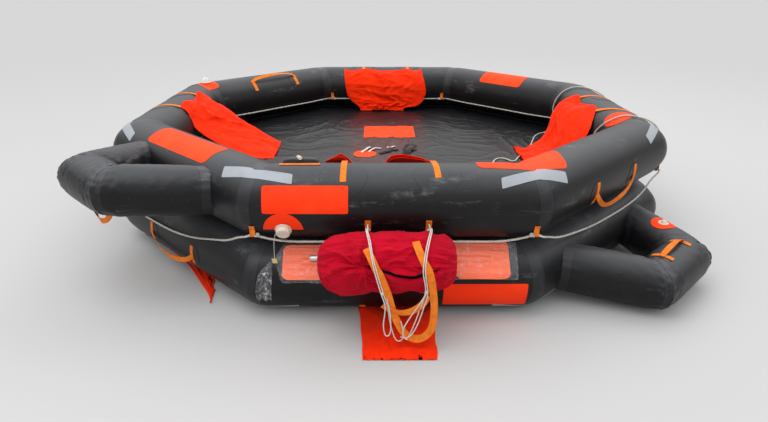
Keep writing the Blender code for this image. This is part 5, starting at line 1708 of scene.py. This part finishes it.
def addValves():
    upper, lower = ring["upperZ"], ring["lowerZ"]
    for name, node, k, side, angle, ringZ, half in (
            ("upperValve", "upper_tube_valve", front, -0.445, -29, upper, (0, 180)),
            ("lowerValve", "lower_tube_valve", back, 0.445, 30, lower, (180, 360))):
        base, axis = buttonAt(k, side, angle, ringZ)
        flange = turnedPiece("flange", base, axis, profiles["flange"], 64)
        cap = turnedPiece("cap", base + axis * 0.006, axis, profiles["cap"], 96, 0.022, 24)
        settle(joined(name, [flange, cap]), whitePlastic, 35, (node,))
        settle(tubeDisc(name + "Label", ringSpot(k, side, angle, ringZ), 0.080, *half),
               signRubber, 50)
    for name, node, ringZ, angle in (("upperInlet", "upper_gas_inlet", upper, -15),
                                     ("lowerInlet", "lower_gas_inlet", lower, 15)):
        base, axis = buttonAt(back, -0.450, angle, ringZ)
        foot = turnedPiece("foot", base, axis, profiles["foot"], 48)
        nut = turnedPiece("nut", base + axis * 0.019, axis, profiles["nut"], 48, 0.045, 6)
        settle(joined(name, [foot, nut]), metal, 35, (node,))


def addLights():
    for name, node, k, side, angle, ringZ in (
            ("upperLight", "upper_sea_light", leftBack, 0.50, 90, ring["upperZ"]),
            ("lowerLight", "lower_sea_light", rightBack, -0.50, -45, ring["lowerZ"])):
        base, axis = buttonAt(k, side, angle, ringZ)
        settle(turnedPiece("foot", base, axis, profiles["lightFoot"], 56), whitePlastic, 35)
        dome = turnedPiece(name + "Dome", base + axis * 0.008, axis, profiles["dome"], 56)
        settle(dome, domePlastic, 50, (node,))
        bulb = turnedPiece(name + "Bulb", base + axis * 0.008, axis, profiles["bulb"], 32)
        settle(bulb, metal, 40)


def addDiscs():
    upper = ring["upperZ"]
    for name, k, side, angle, ringZ in (("roundPatchRight", right, -0.41, 113, upper),
                                        ("roundPatchLeft", left, 0.41, -113, ring["lowerZ"])):
        settle(tubeDisc(name, ringSpot(k, side, angle, ringZ), 0.082), patchRubber, 50)
    pads = [tubeDisc("pad", ringSpot(k, side, angle, upper), 0.095, thick=0.0007)
            for k, side, angle in ((front, -0.205, 58), (front, 0.170, 62), (back, -0.165, 80),
                                   (back, 0.190, 80), (left, -0.190, 66), (left, 0.183, 66),
                                   (right, -0.320, 70), (right, 0.080, 70), (leftBack, 0.54, 60))]
    settle(joined("strapPads", pads), rubber, 50)


def addRampValves():
    for name, node, shape, turn, angle in (
            ("lowerRampValve", "lower_ramp_valve", rampShapes["lower"], 1, 90),
            ("upperRampValve", "upper_ramp_valve", rampShapes["upper"], -1, -90)):
        spot = armSpot(shape, turn, 0.224, angle)
        settle(tubeDisc(name + "Patch", spot, 0.057), patchRubber, 50)
        collar = tubeDisc(name + "Ring", lambda a, b, lift, s=spot: s(a, b, lift + 0.0012), 0.024)
        settle(collar, whitePlastic, 50)
        axis = spot(0, 0, 0.02) - spot(0, 0, 0)
        knob = turnedPiece(name, spot(0, 0, 0.0024), axis, profiles["knob"], 48, 0.03, 12)
        settle(knob, whitePlastic, 35, (node,))


addValves()
addLights()
addDiscs()
addRampValves()


def addCylinder():
    low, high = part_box("gas_cylinder")
    r, length, y, z = 0.075, high[0] - low[0], (low[1] + high[1]) / 2, (low[2] + high[2]) / 2
    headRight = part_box("cylinder_head")[0][0] > (low[0] + high[0]) / 2
    start, way = Vector((low[0] if headRight else high[0], y, z)), Vector((1 if headRight else -1, 0, 0))
    profile = [(0.0, r * 0.50), (0.004, r * 0.62), (0.012, r * 0.76), (0.026, r * 0.90), (0.045, r * 0.98),
               (0.062, r), (length - 0.09, r), (length - 0.07, r * 0.97), (length - 0.05, r * 0.88),
               (length - 0.032, r * 0.70), (length - 0.020, r * 0.50), (length - 0.012, r * 0.36),
               (length, r * 0.32)]
    settle(turnedPiece("gasCylinder", start, way, profile, 72), bottlePaint, 35,
           ("gas_cylinder",))
    base = start + way * length
    head = [turnedPiece("neck", base, way, profiles["neck"], 48),
            turnedPiece("body", base + way * 0.028, way, profiles["headBody"], 48, 0.04, 6),
            turnedPiece("cap", base + way * 0.070, way, profiles["headCap"], 48, 0.02, 24)]
    settle(joined("cylinderHead", head), metal, 35, ("cylinder_head",))

    def arc(x, centreY, centreZ, radius, angles):
        turns = [radians(a) for a in angles]
        return [Vector((x, centreY + radius * cos(a), centreZ + radius * sin(a))) for a in turns]

    tubeY, count = ring["y"] + ring["apothem"], 70
    for name in ("left", "right"):
        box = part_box("cylinder_strap_" + name)
        x = (box[0][0] + box[1][0]) / 2
        points = arc(x, tubeY, ring["lowerZ"], ring["tube"] + 0.0014, (80, 74, 68, 65))
        points += arc(x, y, z, r + 0.0024, range(95, -66, -8))
        points += arc(x, tubeY, ring["lowerZ"], ring["tube"] + 0.0014, (-35, -38, -44, -50))
        points = smoothPath(points, count)
        ups = [aheadAt(points, i).cross(Vector((1, 0, 0))) for i in range(count)]
        settle(strip(name + "CylinderStrap", points, ups, webWidth), orangeWeb,
               nodes=("cylinder_strap_" + name,))


addCylinder()


def addPouch():
    upper = ring["upperZ"]

    def pouchSpot(u, v):
        s, t = 2 * u - 1, 2 * v - 1
        edge = (1 - abs(s) ** 5) * (1 - abs(t) ** 7)
        lift = 0.0018 + 0.0185 * max(edge, 0) ** 0.45 + 0.0012 * ridged(s * 2, t * 4, 1.0) * edge
        return onTube(front, -0.385 + 0.073 * t, 107.5 - 8.8 * s, upper, lift)

    base = tubePatch("base", front, upper, ((-0.466, 91, 121), (-0.304, 91, 121)), corner=0.006)
    pouch = gridSheet("pouch", 36, 60, pouchSpot)
    weld(pouch)
    capEnds(pouch)
    settle(joined("knifePouch", [base, pouch]), rubber, 45, ("knife_pouch",))
    edge = tubePatch("pouchEdge", front, upper, ((-0.468, 86, 92.5), (-0.302, 86, 92.5)),
                     lift=0.0018, corner=0.002)
    settle(edge, orangeWeb, 50)
    start, end = onTube(front, -0.400, 113, upper, 0.023), onTube(front, -0.384, 96, upper, 0.021)
    length = (end - start).length
    profile = ((0, 0.006), (0.004, 0.0085), (length - 0.004, 0.0085), (length, 0.006))
    settle(turnedPiece("knifeHandle", start, end - start, profile, 28), whitePlastic, 40)


addPouch()


def onFloor(x, y, lift):
    return fromMiddle(x, y, ring["floorTop"] + lift + max(0.0, floorRise(x, y)))


def addFloorBits():
    def patchSpot(u, v):
        return onFloor(mixed(-0.169, 0.181, u), mixed(0.278, 0.580, v), 0.0022)

    piece = gridSheet("floorPatch", 50, 44, patchSpot)
    thicken(piece, 0.0016)
    settle(piece, patchRubber, 50, ("floor_centre_patch",))
    disc = tubeDisc("floorDisc", lambda a, b, lift: onFloor(-0.150 + a, -0.121 + b, lift + 0.0012), 0.070)
    settle(disc, patchRubber, 50, ("floor_disc",))
    strips = (("whiteStripLeft", whitePlastic, 0.016, ((-0.172, -0.105, 0.004), (-0.155, -0.060, 0.007),
                                                (-0.140, -0.012, 0.004), (-0.118, 0.020, 0.003))),
              ("whiteStripMiddle", whitePlastic, 0.014, ((-0.128, -0.075, 0.003), (-0.105, -0.045, 0.006),
                                                  (-0.090, 0.002, 0.004), (-0.050, 0.012, 0.002))),
              ("whiteStripRight", whitePlastic, 0.012, ((-0.012, 0.008, 0.002), (0.014, 0.030, 0.004),
                                                 (0.040, 0.060, 0.002))),
              ("blackStrap", blackWeb, 0.026, ((-0.060, -0.103, 0.001), (-0.020, -0.070, 0.004),
                                            (0.020, -0.040, 0.002), (0.055, -0.012, 0.001))),
              ("blackStrapLoop", blackWeb, 0.022,
               ((0.070, -0.164, 0.002), (0.098, -0.120, 0.012), (0.130, -0.060, 0.010), (0.165, 0.010, 0.012),
                (0.158, 0.036, 0.016), (0.120, 0.020, 0.018), (0.100, -0.030, 0.014), (0.090, -0.090, 0.018),
                (0.120, -0.150, 0.004))))
    for name, finish, width, points in strips:
        points = smoothPath(points, 40)
        route = [onFloor(p.x, p.y, 0.0022 + p.z) for p in points]
        settle(strip(name, route, [upward] * len(route), width, 0.0014), finish)


addFloorBits()


def addTag():
    upper = ring["upperZ"]
    route = [onTube(front, -0.474, -28, upper, 0.026), at(front, 1.474, -0.480, upper - 0.110),
             at(front, 1.476, -0.482, upper - 0.150), at(front, 1.472, -0.484, upper - 0.194)]
    piece, points, length = ropeMesh("tagCord", route, 0.0011, False, 6, 0.004, 0.01)
    settle(piece, lashingCord)
    foot = points[-1]

    def tagSpot(u, v):
        x, y, z = (u - 0.5) * 0.020 + (v - 0.5) * 0.006, (v - 0.5) * -0.008, (0.5 - v) * 0.017 - 0.008
        return foot + Vector((x, y, z))

    tag = gridSheet("yellowTag", 6, 6, tagSpot)
    thicken(tag, 0.0022, 0.0005, offset=0)
    settle(tag, tagYellow, 40)
    tuple(points[0])
    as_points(points[::3] + [points[-1]])


addTag()
print("fittings made")

[list(map(float, p)) for p in (*cadBox, *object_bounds())]
